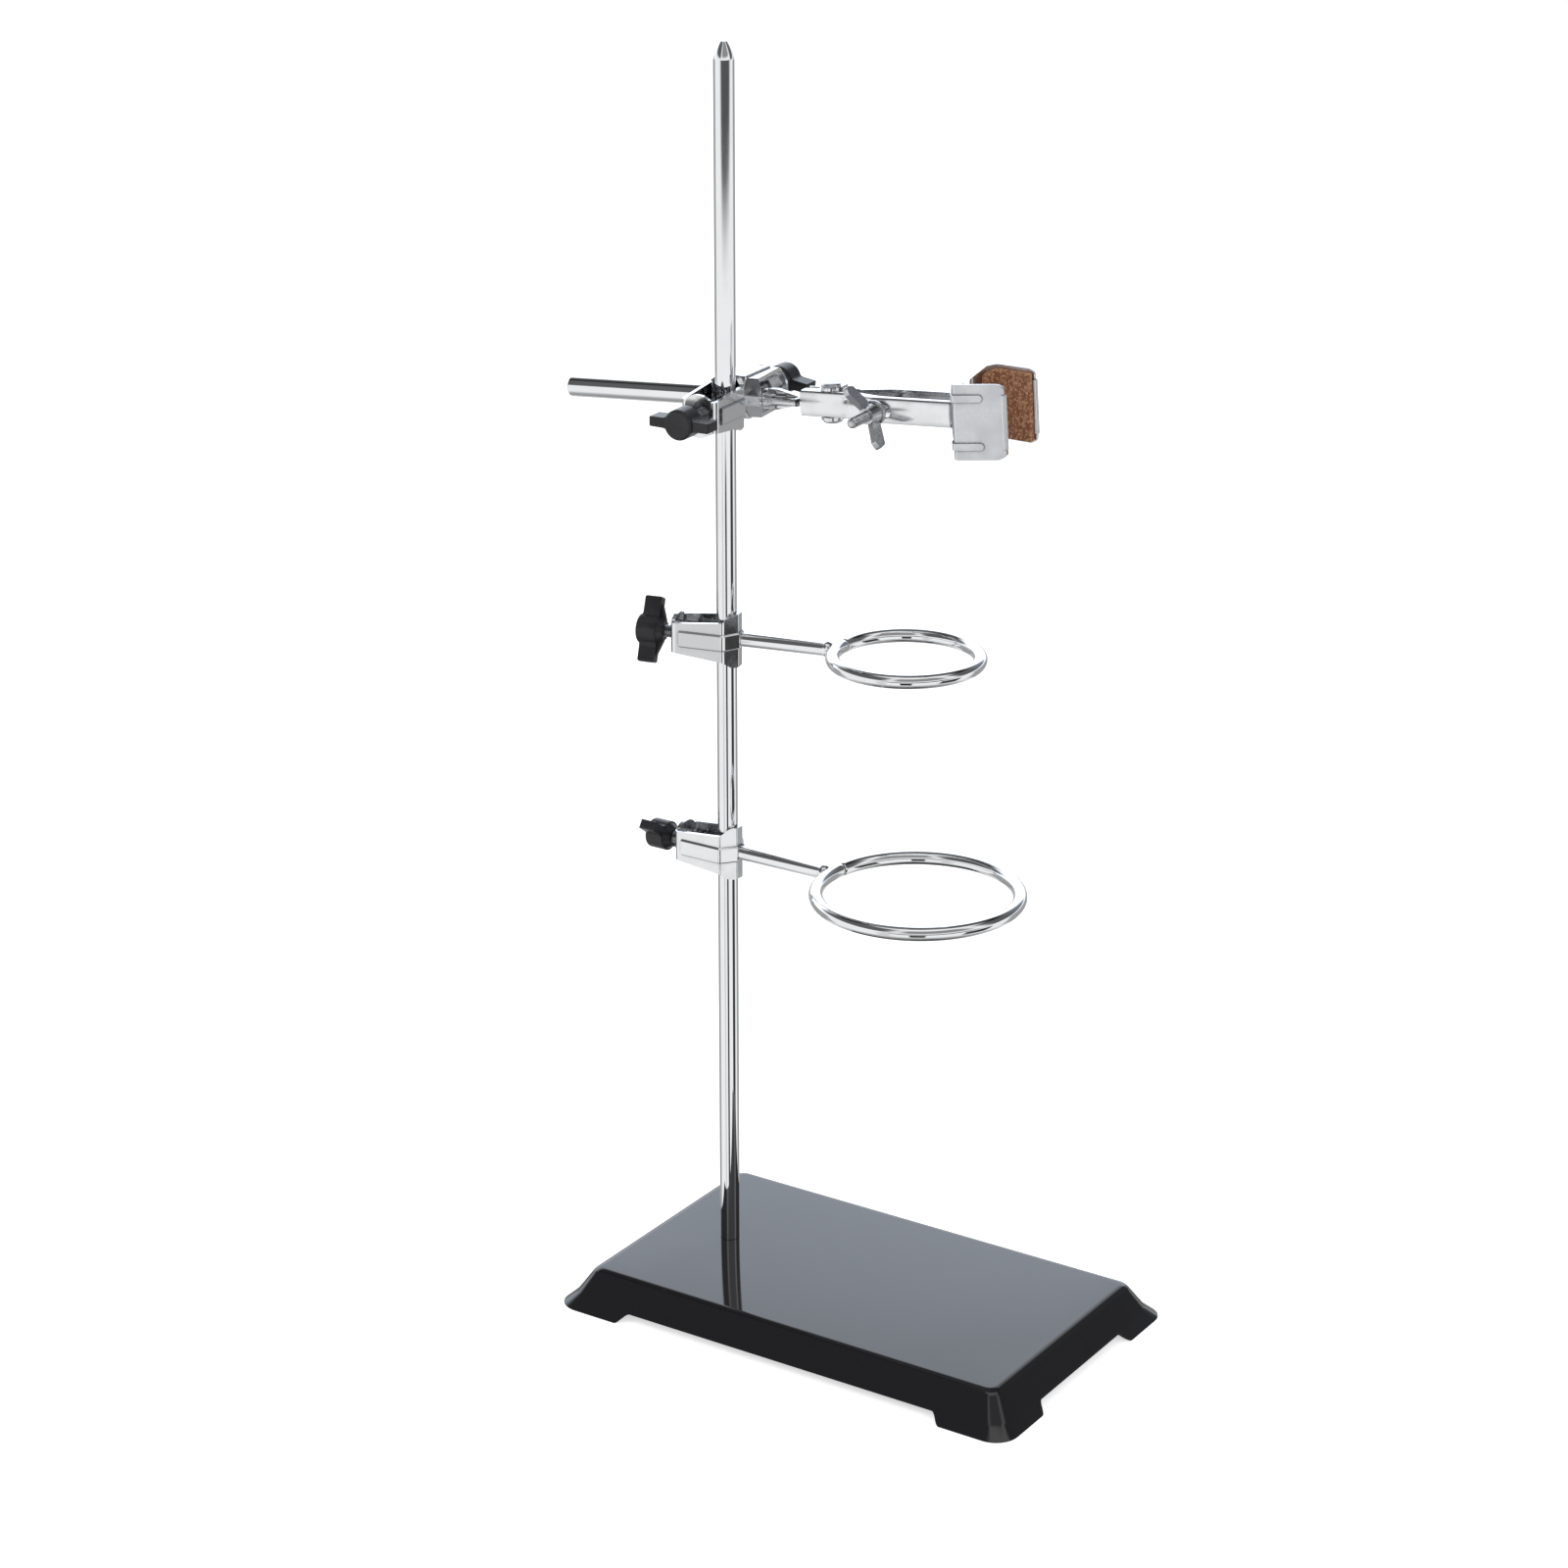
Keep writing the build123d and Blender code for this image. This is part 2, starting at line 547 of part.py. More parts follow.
def back_finger():
    """The finger that stays with the tongue: its eyes lie outside those of the front finger."""
    finger = finger_channel()
    relief_end = FINGER_BOW_START + SWING_RELIEF_MARGIN
    relief = block(FINGER_START - 1, relief_end, -FAR, SWING_RELIEF, -FAR, FAR)
    relief += Pos(PIVOT_U, 0, 0) * Cylinder(EYE_RADIUS + 2 * FACE_GAP, FAR)
    finger -= relief
    low, high = FINGER_HALF + FACE_GAP, FINGER_HALF + FACE_GAP + FINGER_SHEET
    root = FINGER_NEAR - FINGER_ROUND / 4
    plan = Circle(TAB_RADIUS) + Pos(0, root / 2) * Rectangle(2 * TAB_RADIUS, root)
    eye = Pos(PIVOT_U, 0, low) * extrude(plan, high - low)
    step_start = EYE_RADIUS + 5 * FACE_GAP
    step = block(PIVOT_U - TAB_RADIUS, PIVOT_U + TAB_RADIUS, step_start, root, FINGER_INSIDE, high)
    tab = (eye + step) - Pos(PIVOT_U, 0, 0) * Cylinder(EYE_RADIUS + 2 * FACE_GAP, 2 * low)
    finger += tab + mirror(tab, about=Plane.XY)
    finger -= Pos(PIVOT_U, 0, 0) * Cylinder(PIVOT_DIAMETER / 2 + THREAD_GAP, FAR)
    return finger - bolt_hole()


def front_finger():
    """The finger that swings on the rivet, with a slot for the adjusting bolt."""
    finger = mirror(finger_channel(), about=Plane.XZ)
    eye = Pos(PIVOT_U, 0, FINGER_INSIDE) * extrude(Circle(EYE_RADIUS), FINGER_SHEET)
    finger += eye + mirror(eye, about=Plane.XY)
    finger -= Pos(PIVOT_U, 0, 0) * Cylinder(PIVOT_DIAMETER / 2 + THREAD_GAP, FAR)
    radius = BOLT_DIAMETER / 2 + 2 * FACE_GAP
    slot = Pos((SLOT_FRONT - SLOT_BACK) / 2, 0) * SlotOverall(SLOT_BACK + SLOT_FRONT, 2 * radius)
    cut = extrude(Plane(origin=(BOLT_U, 0, 0), x_dir=(1, 0, 0), z_dir=(0, -1, 0)) * slot, FAR)
    return finger - cut


def along_y(solid, place=0.0):
    """Turn a solid that stands on the XY plane so that its height runs along -Y at the bolt."""
    return Plane(origin=(BOLT_U, place, 0), x_dir=(1, 0, 0), z_dir=(0, -1, 0)).location * solid


def bolt_hole():
    """The bolt's hole through the back finger."""
    radius = BOLT_DIAMETER / 2 + THREAD_GAP
    return along_y(Pos(0, 0, -FAR / 2) * Cylinder(radius, FAR))


def clamp_bolt():
    """The adjusting bolt, its head against the back finger."""
    length = BOLT_TIP + FINGER_FAR
    shank = Pos(0, 0, length / 2) * Cylinder(BOLT_DIAMETER / 2, length)
    shank = chamfer(shank.edges().sort_by(Axis.Z)[-1], BOLT_CHAMFER)
    head = Pos(0, 0, -BOLT_HEAD_HEIGHT) * hexagon(BOLT_HEAD_WIDTH, BOLT_HEAD_HEIGHT)
    return along_y(shank + head, FINGER_FAR)


def bolt_washer():
    """The thick washer whose crowned face bears on the front finger."""
    rim = WASHER_DIAMETER / 2
    crown = ThreePointArc((0, 0), (rim / 2, WASHER_CROWN / 4), (rim, WASHER_CROWN))
    side = Polyline((rim, WASHER_CROWN), (rim, WASHER_THICKNESS), (0, WASHER_THICKNESS), (0, 0))
    face = make_face([crown, *side.edges()])
    disc = revolve(Plane.XZ * face, Axis.Z)
    disc -= Cylinder(BOLT_DIAMETER / 2 + RUNNING_GAP, FAR)
    return along_y(disc, -FINGER_FAR - SWING_GAP)


def wing_nut():
    """The wing nut, its wings raked away from the finger."""
    foot = WING_HUB_DIAMETER / 2
    hub = Pos(0, 0, WING_HUB_HEIGHT / 2) * Cone(foot, foot - WING_HUB_TAPER, WING_HUB_HEIGHT)
    root, tip = foot - WING_ROOT_DEPTH, WING_RISE + WING_WIDTH / 2
    wing = [(root, WING_ROOT_LOW), (root + WING_ROOT_LENGTH, WING_ROOT_LOW)]
    wing += [(WING_REACH - WING_TIP_LEAN, tip - 1.5 * WING_TIP_LENGTH), (WING_REACH, tip)]
    wing += [(WING_REACH - WING_TIP_LENGTH, tip + WING_TIP_LEAN), (root, WING_HUB_HEIGHT - WING_ROOT_HIGH)]
    radii = [0, WING_ROOT_ROUND, WING_ROUND, WING_ROUND, WING_ROUND, 0]
    face = make_face(FilletPolyline(*wing, radius=radii, close=True))
    blade = extrude(Plane.XZ * face, WING_THICKNESS / 2, both=True)
    body = hub + blade + Rot(0, 0, 180) * blade
    body -= Cylinder(BOLT_DIAMETER / 2 + THREAD_GAP, FAR)
    place = -FINGER_FAR - SWING_GAP - WASHER_THICKNESS - FACE_GAP
    return along_y(Rot(0, 0, WING_TURN) * body, place)


def pivot_rivet():
    """The rivet on which the front finger swings."""
    grip = FINGER_HALF + FACE_GAP + FINGER_SHEET
    shank = Cylinder(PIVOT_DIAMETER / 2, 2 * grip)
    head = Pos(0, 0, grip + PIVOT_HEAD_HEIGHT / 2) * Cylinder(PIVOT_HEAD_DIAMETER / 2, PIVOT_HEAD_HEIGHT)
    head = fillet(head.edges().sort_by(Axis.Z)[-1], PIVOT_HEAD_ROUND)
    return Pos(PIVOT_U, 0, 0) * (shank + head + mirror(head, about=Plane.XY))


def jaw_line():
    """The middle of the back jaw's sheet in plan, from its root in the finger to its tip."""
    start = FINGER_END - JAW_ROOT_LENGTH
    fold = FINGER_END + JAW_FOLD
    return [(start, JAW_ROOT_V), (fold, JAW_ROOT_V), (JAW_BEND_U, JAW_BEND_V), (JAW_TIP_U, JAW_TIP_V)]


def jaw_window(half, start, corner):
    """The outline of a jaw or a liner seen from the side, as a solid that cuts it."""
    end = JAW_TIP_U + JAW_SHEET / 2
    corners = [(start, -half), (end, -half), (end, half), (start, half)]
    face = make_face(FilletPolyline(*corners, radius=corner, close=True))
    return extrude(Plane.XZ * face, FAR, both=True)


def jaw():
    """The back jaw: a root in the finger, a plate that flares out and a rolled rim at the tip."""
    line = jaw_line()
    sheet = JAW_SHEET / 2
    half = JAW_HEIGHT / 2
    plate = extrude(strip(line, -sheet, sheet, JAW_BEND_RADIUS), half, both=True)
    flare = FINGER_END + JAW_NECK_END
    side = [(0, JAW_ROOT_HEIGHT / 2), (FINGER_END + JAW_NECK_START, JAW_ROOT_HEIGHT / 2)]
    side += [(flare, half - JAW_FLARE), (flare + JAW_FLARE, half), (4 * FAR, half)]
    lower = [(x, -z) for x, z in reversed(side)]
    mask = make_face(Polyline(*side, *lower, close=True))
    plate &= extrude(Plane.XZ * mask, FAR, both=True)
    plate &= jaw_window(half, 0, JAW_CORNER)
    rim_half = half - JAW_CORNER
    plate += Pos(JAW_TIP_U - JAW_RIM_INSET, JAW_TIP_V, 0) * Cylinder(JAW_RIM_DIAMETER / 2, 2 * rim_half)
    rib_plan = strip(line[1:], 0, sheet + JAW_RIB_RAISE, JAW_BEND_RADIUS)
    middle, length = (JAW_RIB_START + JAW_RIB_END) / 2, JAW_RIB_END - JAW_RIB_START
    for place in (-JAW_RIB_W, JAW_RIB_W):
        rib = Pos(0, 0, place) * extrude(rib_plan, JAW_RIB_WIDTH / 2, both=True)
        shape = Plane.XZ * (Pos(middle, place) * SlotOverall(length, JAW_RIB_WIDTH))
        plate += rib & extrude(shape, FAR, both=True)
    return plate


def cork():
    """The cork liner that is glued inside the back jaw."""
    sheet = JAW_SHEET / 2
    plan = strip(jaw_line()[1:], -sheet - CORK_THICKNESS, -sheet, JAW_BEND_RADIUS)
    liner = extrude(plan, CORK_HEIGHT / 2, both=True)
    liner &= jaw_window(CORK_HEIGHT / 2, CORK_START, CORK_CORNER)
    rim = Cylinder(JAW_RIM_DIAMETER / 2 + FACE_GAP, JAW_HEIGHT)
    return liner - Pos(JAW_TIP_U - JAW_RIM_INSET, JAW_TIP_V, 0) * rim


def gripper():
    """The jaw clamp, with its rod along X and its fingers one behind the other."""
    back_jaw, back_cork = jaw(), cork()
    parts = {
        "clamp_rod": clamp_rod(),
        "gripper_neck": gripper_neck(),
        "back_finger": back_finger(),
        "back_jaw": back_jaw,
        "back_cork": back_cork,
        "front_finger": front_finger(),
        "front_jaw": mirror(back_jaw, about=Plane.XZ),
        "front_cork": mirror(back_cork, about=Plane.XZ),
        "pivot_rivet": pivot_rivet(),
        "clamp_bolt": clamp_bolt(),
        "bolt_washer": bolt_washer(),
        "wing_nut": wing_nut(),
    }
    place = bar_place()
    return {node: place * solid for node, solid in parts.items()}


def main():
    """Build every piece and write it to its own file."""
    washer, nut = column_fasteners()
    nodes = {"base_plate": base_plate(), "column_rod": column_rod()}
    nodes |= {"column_washer": washer, "column_nut": nut}
    nodes |= ring_clamp(
        "small_ring", SMALL_RING_Z, SMALL_RING_TURN, SMALL_RING_INNER, SMALL_ARM_REACH, SMALL_KNOB_TURN
    )
    nodes |= ring_clamp(
        "large_ring", LARGE_RING_Z, LARGE_RING_TURN, LARGE_RING_INNER, LARGE_ARM_REACH, LARGE_KNOB_TURN
    )
    nodes |= boss()
    nodes |= gripper()
    os.makedirs("parts", exist_ok=True)
    for node, solid in nodes.items():
        export_step(solid, f"parts/{node}.step")


main()
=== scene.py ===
import json
import math

import bmesh
import bpy
from bpy.props import FloatProperty, FloatVectorProperty, IntProperty, PointerProperty
from bpy.types import Operator, Panel, PropertyGroup
from mathutils import Matrix, Vector, noise


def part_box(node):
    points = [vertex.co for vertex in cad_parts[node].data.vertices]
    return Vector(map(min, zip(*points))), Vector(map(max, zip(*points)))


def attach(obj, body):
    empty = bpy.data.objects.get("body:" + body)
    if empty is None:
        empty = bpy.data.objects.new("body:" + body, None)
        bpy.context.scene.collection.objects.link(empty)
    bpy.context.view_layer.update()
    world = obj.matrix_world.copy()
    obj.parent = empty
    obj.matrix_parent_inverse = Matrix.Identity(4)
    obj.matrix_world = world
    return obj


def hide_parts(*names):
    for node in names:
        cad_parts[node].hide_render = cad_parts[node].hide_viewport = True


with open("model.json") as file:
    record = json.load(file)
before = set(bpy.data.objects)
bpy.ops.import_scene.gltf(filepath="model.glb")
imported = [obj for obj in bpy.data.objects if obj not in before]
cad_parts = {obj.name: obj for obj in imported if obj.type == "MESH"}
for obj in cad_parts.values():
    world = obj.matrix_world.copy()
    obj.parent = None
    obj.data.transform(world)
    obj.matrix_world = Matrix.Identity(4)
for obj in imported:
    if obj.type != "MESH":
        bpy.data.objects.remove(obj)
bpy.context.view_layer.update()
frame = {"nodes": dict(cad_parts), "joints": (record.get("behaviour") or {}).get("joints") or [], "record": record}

bl_info = {
    "name": "Retort stand",
    "version": (1, 0, 0),
    "blender": (4, 5, 0),
    "location": "View3D > Sidebar > Retort stand",
    "description": "Dresses a retort stand with two support rings and a jaw clamp",
    "category": "Object",
}

MM = 0.001
MERGE = 0.002 * MM
FULL_TURN = 2 * math.pi
JOINTS = {joint["name"]: joint for joint in frame["joints"]}
BODY_OF = {
    node: body
    for body, nodes in frame["record"]["behaviour"]["bodies"].items()
    for node in nodes
}
RING_CLAMPS = ("small_ring", "large_ring")
BOSS_CLAMPS = ("boss_front", "boss_rear")
CLAMPS = RING_CLAMPS + BOSS_CLAMPS

# Made once by make_finishes and used by name
GROUPS = {}
FINISHES = {}

# What the materials add to the finishes' colours
SPECK_DARKNESS = 0.72
STREAK_SHARE = 0.6
# Painted shade in creases: how strongly it darkens the metal, and the dark grey it darkens towards
CREASE_SHADE_SHARE = 0.82
CREASE_SHADE_COLOUR = (0.09, 0.09, 0.10)
PLATE_RELIEF = 0.02 * MM
NIB_COLOUR = (0.05, 0.05, 0.055)
NIB_ROUGHNESS = 0.2
ENAMEL_RELIEF = 0.03 * MM
PLASTIC_WEAR = 1.5
PLASTIC_RELIEF = 0.03 * MM
GRAIN_BEND = 0.6 * MM
GRAIN_FINENESS = 2.6
GRAIN_GAP_SHARE = 0.5
GRAIN_GAP_COLOUR = (0.04, 0.016, 0.01)
CORK_RELIEF = 0.15 * MM

# The base plate
BASE_CORNER = 10.0 * MM
BASE_SHEET = 1.2 * MM
BASE_TOP_EDGE = 4.5 * MM
SKIRT_WALL = 1.38 * MM
SKIRT_BEND_INSET = 4.54 * MM
SKIRT_BEND_HEIGHT = 4.5 * MM
SKIRT_BEND_LINES = (4.1 * MM, 5.1 * MM)
SKIRT_TOP_INSET = 11.4 * MM
SKIRT_RIM_ROUND = 0.25 * MM
LEAST_CORNER = 1.0 * MM
FOOT_LENGTH = 30.0 * MM
FOOT_HOLE_RADIUS = 3.05 * MM
NOTCH_HEIGHT = 3.6 * MM
NOTCH_RUN = 5.2 * MM
NOTCH_FIRST = 1.5 * MM
NOTCH_STEP = 0.6 * MM
NOTCH_LINES = 14
SIDE_SHARES = (0.8, 0.6, 0.4, 0.2)
CORNER_STEPS = 12
EDGE_STEPS = 10
HOLE_STEPS = 48

# The rods
ROD_RADIUS = 4.0 * MM
POINT_RINGS = 10
POINT_SWELL = 0.35 * MM
SHOULDER_CHAMFER = 0.15 * MM
FOOT_RADIUS = 3.0 * MM
FOOT_CHAMFER = 0.4 * MM
BAR_BACK = 77.0 * MM
BAR_FRONT = 12.0 * MM
BAR_CHAMFER = 0.5 * MM
SPIGOT_RADIUS = 2.5 * MM
SPIGOT_LENGTH = 8.0 * MM

# Threads, in shares of the pitch, and the screws that carry them
THREAD_DEPTH = 0.6
THREAD_CREST = (0.36, 0.5)
THREAD_FOOT = 0.86
THREAD_RUN_OUT = 1.5
THREAD_OVERHANG = 0.1
THREAD_STEPS = 28
CORE_INSET = 0.02 * MM
CORE_CHAMFER = 0.3 * MM
KNOB_JOINT_REACH = 30.0 * MM
SCREW_RADIUS = 2.5 * MM
SCREW_TIP_REACH = 4.1 * MM
SCREW_BORE_REACH = 34.0 * MM
BOLT_RADIUS = 2.0 * MM
BOLT_TIP_REACH = 30.0 * MM
BOLT_HEAD_REACH = 9.3 * MM
BOLT_HEAD_MARGIN = 0.05 * MM
BOLT_U = 63.0 * MM

# The support rings, their arms and the straps' noses that the arms are riveted through
WIRE_RADIUS = 2.75 * MM
WIRE_STEPS = 32
HOOP_STEPS = 180
SEAM_REACH = 6.0 * MM
SEAM_ROUND = 0.28 * MM
NOSE_FACE = 6.45 * MM
STRAP_SHEET = 1.5 * MM
TAIL_RADIUS = 1.5 * MM
TAIL_HEAD = (0.5 * MM, 0.4 * MM, 0.7 * MM)
ARM_CHAMFER = 0.4 * MM
ARM_STEPS = 48
WELD_RINGS = 7
WELD_SWELL = 0.42 * MM
WELD_FULLNESS = 0.8
WELD_SPREAD = 1.25
WELD_LUMP = 0.10 * MM
WELD_LUMP_FREQUENCY = 0.9 / MM

# The corks
CORK_VOXEL = 0.35 * MM
CRUMB_REACH = 0.5
CRUMB_DEPTH = 0.32 * MM

# The fingers, in the clamp rod's frame
FINGER_HALF_HEIGHT = 5.0 * MM
FINGER_NEAR = 5.5 * MM
FINGER_FAR = 9.3 * MM
FINGER_BOW = (47.0 * MM, 61.0 * MM)
FINGER_CROWN = 0.95 * MM
FINGER_SKIN = 1.1 * MM
CROWN_ROWS = 5

# Angles in degrees: what counts as flat when a copy is merged, and as a corner when it is rounded
FLAT_ANGLE = 0.8
CORNER_ANGLE = 28.0


class RetortSizes(PropertyGroup):
    """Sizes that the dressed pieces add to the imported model."""

    tip_length: FloatProperty(
        name="Column point length", description="Length of the blunt point on the column",
        default=6.8 * MM, subtype="DISTANCE",
    )
    tip_radius: FloatProperty(
        name="Column point radius", description="Radius of the flat at the very top of the column",
        default=1.25 * MM, subtype="DISTANCE",
    )
    screw_pitch: FloatProperty(
        name="Thumbscrew pitch", description="Pitch of the thread on the thumbscrews",
        default=0.8 * MM, subtype="DISTANCE",
    )
    bolt_pitch: FloatProperty(
        name="Bolt pitch", description="Pitch of the thread on the adjusting bolt",
        default=0.7 * MM, subtype="DISTANCE",
    )
    seam_gap: FloatProperty(
        name="Hoop seam", description="Width of the butt seam where a hoop's wire closes",
        default=0.25 * MM, subtype="DISTANCE",
    )
    weld_length: FloatProperty(
        name="Weld length", description="Length of the weld bead between an arm and its hoop",
        default=2.2 * MM, subtype="DISTANCE",
    )
    cork_grain: FloatProperty(
        name="Cork grain", description="Size of the granules in the pressed cork",
        default=0.9 * MM, subtype="DISTANCE",
    )
    turned_steps: IntProperty(
        name="Turned steps", description="Facets round a turned piece",
        default=96, min=12,
    )


class RetortFinishes(PropertyGroup):
    """Colours of the finishes."""

    chrome: FloatVectorProperty(
        name="Chrome", description="Bright plate on the rods, arms and hoops",
        default=(0.83, 0.84, 0.855), subtype="COLOR", size=3,
    )
    sheet: FloatVectorProperty(
        name="Plated sheet", description="Satin plate on the straps, fingers and jaws",
        default=(0.80, 0.81, 0.825), subtype="COLOR", size=3,
    )
    satin: FloatVectorProperty(
        name="Satin sheet", description="Duller plate on the jaws",
        default=(0.70, 0.71, 0.74), subtype="COLOR", size=3,
    )
    zinc: FloatVectorProperty(
        name="Zinc", description="Duller plate on nuts, screws, bolt and wing nut",
        default=(0.62, 0.63, 0.645), subtype="COLOR", size=3,
    )
    enamel: FloatVectorProperty(
        name="Enamel", description="Gloss enamel on the base plate",
        default=(0.010, 0.010, 0.012), subtype="COLOR", size=3,
    )
    plastic: FloatVectorProperty(
        name="Plastic", description="Moulded plastic of the knobs",
        default=(0.016, 0.016, 0.018), subtype="COLOR", size=3,
    )
    cork_dark: FloatVectorProperty(
        name="Cork, dark grains", description="Dark granules of the liners",
        default=(0.27, 0.115, 0.062), subtype="COLOR", size=3,
    )
    cork_light: FloatVectorProperty(
        name="Cork, light grains", description="Light granules of the liners",
        default=(0.56, 0.31, 0.18), subtype="COLOR", size=3,
    )


def sizes():
    """The sizes kept with the scene."""
    return bpy.context.scene.retort_sizes


def finishes():
    """The colours kept with the scene."""
    return bpy.context.scene.retort_finishes


# Shader nodes

def add_node(tree, kind, inputs=None, **settings):
    """A new shader node with its settings, whose inputs are values or sockets."""
    node = tree.nodes.new(kind)
    for name, value in settings.items():
        setattr(node, name, value)
    for name, value in (inputs or {}).items():
        if isinstance(value, bpy.types.NodeSocket):
            tree.links.new(value, node.inputs[name])
        else:
            node.inputs[name].default_value = value
    return node


def add_math(tree, operation, first, second=0.0):
    """The result of a Math node."""
    return add_node(tree, "ShaderNodeMath", {0: first, 1: second}, operation=operation).outputs[0]


def add_range(tree, value, from_low, from_high, to_low=0.0, to_high=1.0):
    """A value carried smoothly from one range to another."""
    inputs = {"Value": value, "From Min": from_low, "From Max": from_high}
    inputs.update({"To Min": to_low, "To Max": to_high})
    return add_node(tree, "ShaderNodeMapRange", inputs, interpolation_type="SMOOTHSTEP").outputs[0]


def add_mix(tree, factor, first, second):
    """A colour between two colours."""
    node = add_node(tree, "ShaderNodeMix", data_type="RGBA")
    for socket, value in zip((node.inputs[0], node.inputs[6], node.inputs[7]), (factor, first, second)):
        if isinstance(value, bpy.types.NodeSocket):
            tree.links.new(value, socket)
        elif socket is node.inputs[0]:
            socket.default_value = value
        else:
            socket.default_value = (*value, 1.0)
    return node.outputs[2]


def new_group(name, inputs, outputs):
    """An empty shader node group with float inputs and named outputs."""
    tree = bpy.data.node_groups.new(name, "ShaderNodeTree")
    for label, value in inputs.items():
        socket = tree.interface.new_socket(name=label, in_out="INPUT", socket_type="NodeSocketFloat")
        socket.default_value = value
    for label in outputs:
        tree.interface.new_socket(name=label, in_out="OUTPUT", socket_type="NodeSocketFloat")
    return tree, tree.nodes.new("NodeGroupInput"), tree.nodes.new("NodeGroupOutput")


def handling_group():
    """Smudges and fine rubbing marks: a slow mask, a streaky mask and a height."""
    tree, entry, leave = new_group(
        "Handling marks", {"Scale": 60.0, "Stretch": 1.0, "Fine": 900.0}, ("Smudge", "Streak", "Height")
    )
    place = add_node(tree, "ShaderNodeTexCoord").outputs["Object"]
    cloud = add_node(
        tree, "ShaderNodeTexNoise", {"Vector": place, "Scale": entry.outputs["Scale"], "Detail": 5.0}
    )
    stretch = add_node(tree, "ShaderNodeCombineXYZ", {"X": 1.0, "Y": 1.0, "Z": entry.outputs["Stretch"]})
    drawn = add_node(tree, "ShaderNodeVectorMath", {0: place, 1: stretch.outputs[0]}, operation="MULTIPLY")
    streak = add_node(
        tree, "ShaderNodeTexNoise",
        {"Vector": drawn.outputs[0], "Scale": entry.outputs["Fine"], "Detail": 3.0, "Roughness": 0.6},
    )
    height = add_math(tree, "ADD", cloud.outputs["Fac"], streak.outputs["Fac"])
    tree.links.new(add_range(tree, cloud.outputs["Fac"], 0.38, 0.66), leave.inputs["Smudge"])
    tree.links.new(add_range(tree, streak.outputs["Fac"], 0.35, 0.70), leave.inputs["Streak"])
    tree.links.new(height, leave.inputs["Height"])
    return tree


def speck_group():
    """Sparse round specks, as dust and nibs in a coating leave them."""
    tree, entry, leave = new_group("Specks", {"Scale": 300.0, "Size": 0.1, "Share": 0.1}, ("Mask",))
    place = add_node(tree, "ShaderNodeTexCoord").outputs["Object"]
    cells = add_node(tree, "ShaderNodeTexVoronoi", {"Vector": place, "Scale": entry.outputs["Scale"]})
    lot = add_node(tree, "ShaderNodeTexWhiteNoise", {"Vector": cells.outputs["Position"]})
    chosen = add_math(tree, "LESS_THAN", lot.outputs["Value"], entry.outputs["Share"])
    near = add_math(tree, "LESS_THAN", cells.outputs["Distance"], entry.outputs["Size"])
    tree.links.new(add_math(tree, "MULTIPLY", chosen, near), leave.inputs["Mask"])
    return tree


def granule_group():
    """Pressed granules: which grain, how dark it is and how high it stands."""
    tree, entry, leave = new_group("Granules", {"Scale": 1000.0}, ("Tone", "Gap", "Height"))
    place = add_node(tree, "ShaderNodeTexCoord").outputs["Object"]
    bend = add_node(
        tree, "ShaderNodeTexNoise", {"Vector": place, "Scale": entry.outputs["Scale"], "Detail": 2.0}
    )
    offset = add_node(tree, "ShaderNodeVectorMath", {0: bend.outputs["Color"]}, operation="SCALE")
    offset.inputs["Scale"].default_value = GRAIN_BEND
    moved = add_node(tree, "ShaderNodeVectorMath", {0: place, 1: offset.outputs[0]}, operation="ADD")
    spread = {"Vector": moved.outputs[0], "Scale": entry.outputs["Scale"]}
    cells = add_node(tree, "ShaderNodeTexVoronoi", spread)
    edges = add_node(tree, "ShaderNodeTexVoronoi", spread, feature="DISTANCE_TO_EDGE")
    tone = add_node(tree, "ShaderNodeTexWhiteNoise", {"Vector": cells.outputs["Position"]})
    tree.links.new(tone.outputs["Value"], leave.inputs["Tone"])
    tree.links.new(add_range(tree, edges.outputs["Distance"], 0.0, 0.16, 1.0, 0.0), leave.inputs["Gap"])
    tree.links.new(add_range(tree, edges.outputs["Distance"], 0.0, 0.35, 0.0, 1.0), leave.inputs["Height"])
    return tree


def painted_crease_shade_group():
    """Painted shade: ambient occlusion darkens creases and the feet of ribs, unevenly in patches."""
    tree, entry, leave = new_group("Painted crease shade", {"Reach": 0.0015, "Patches": 600.0}, ("Mask",))
    hollow = add_node(
        tree, "ShaderNodeAmbientOcclusion", {"Distance": entry.outputs["Reach"]}, samples=8, only_local=True
    )
    place = add_node(tree, "ShaderNodeTexCoord").outputs["Object"]
    uneven = add_node(tree, "ShaderNodeTexNoise", {"Vector": place, "Scale": entry.outputs["Patches"]})
    closed = add_range(tree, hollow.outputs["AO"], 0.58, 0.96, 1.0, 0.0)
    share = add_range(tree, uneven.outputs["Fac"], 0.3, 0.7, 0.7, 1.0)
    tree.links.new(add_math(tree, "MULTIPLY", closed, share), leave.inputs["Mask"])
    return tree


def new_material(name):
    """A material with its Principled BSDF."""
    material = bpy.data.materials.new(name)
    material.use_nodes = True
    return material, material.node_tree, material.node_tree.nodes["Principled BSDF"]


def use_group(tree, group, **values):
    """A group placed in a material with its own values."""
    node = tree.nodes.new("ShaderNodeGroup")
    node.node_tree = group
    for label, value in values.items():
        node.inputs[label].default_value = value
    return node.outputs


def add_bump(tree, shader, height, strength, distance):
    """Small relief on a material."""
    inputs = {"Height": height, "Strength": strength, "Distance": distance}
    bump = add_node(tree, "ShaderNodeBump", inputs)
    tree.links.new(bump.outputs[0], shader.inputs["Normal"])


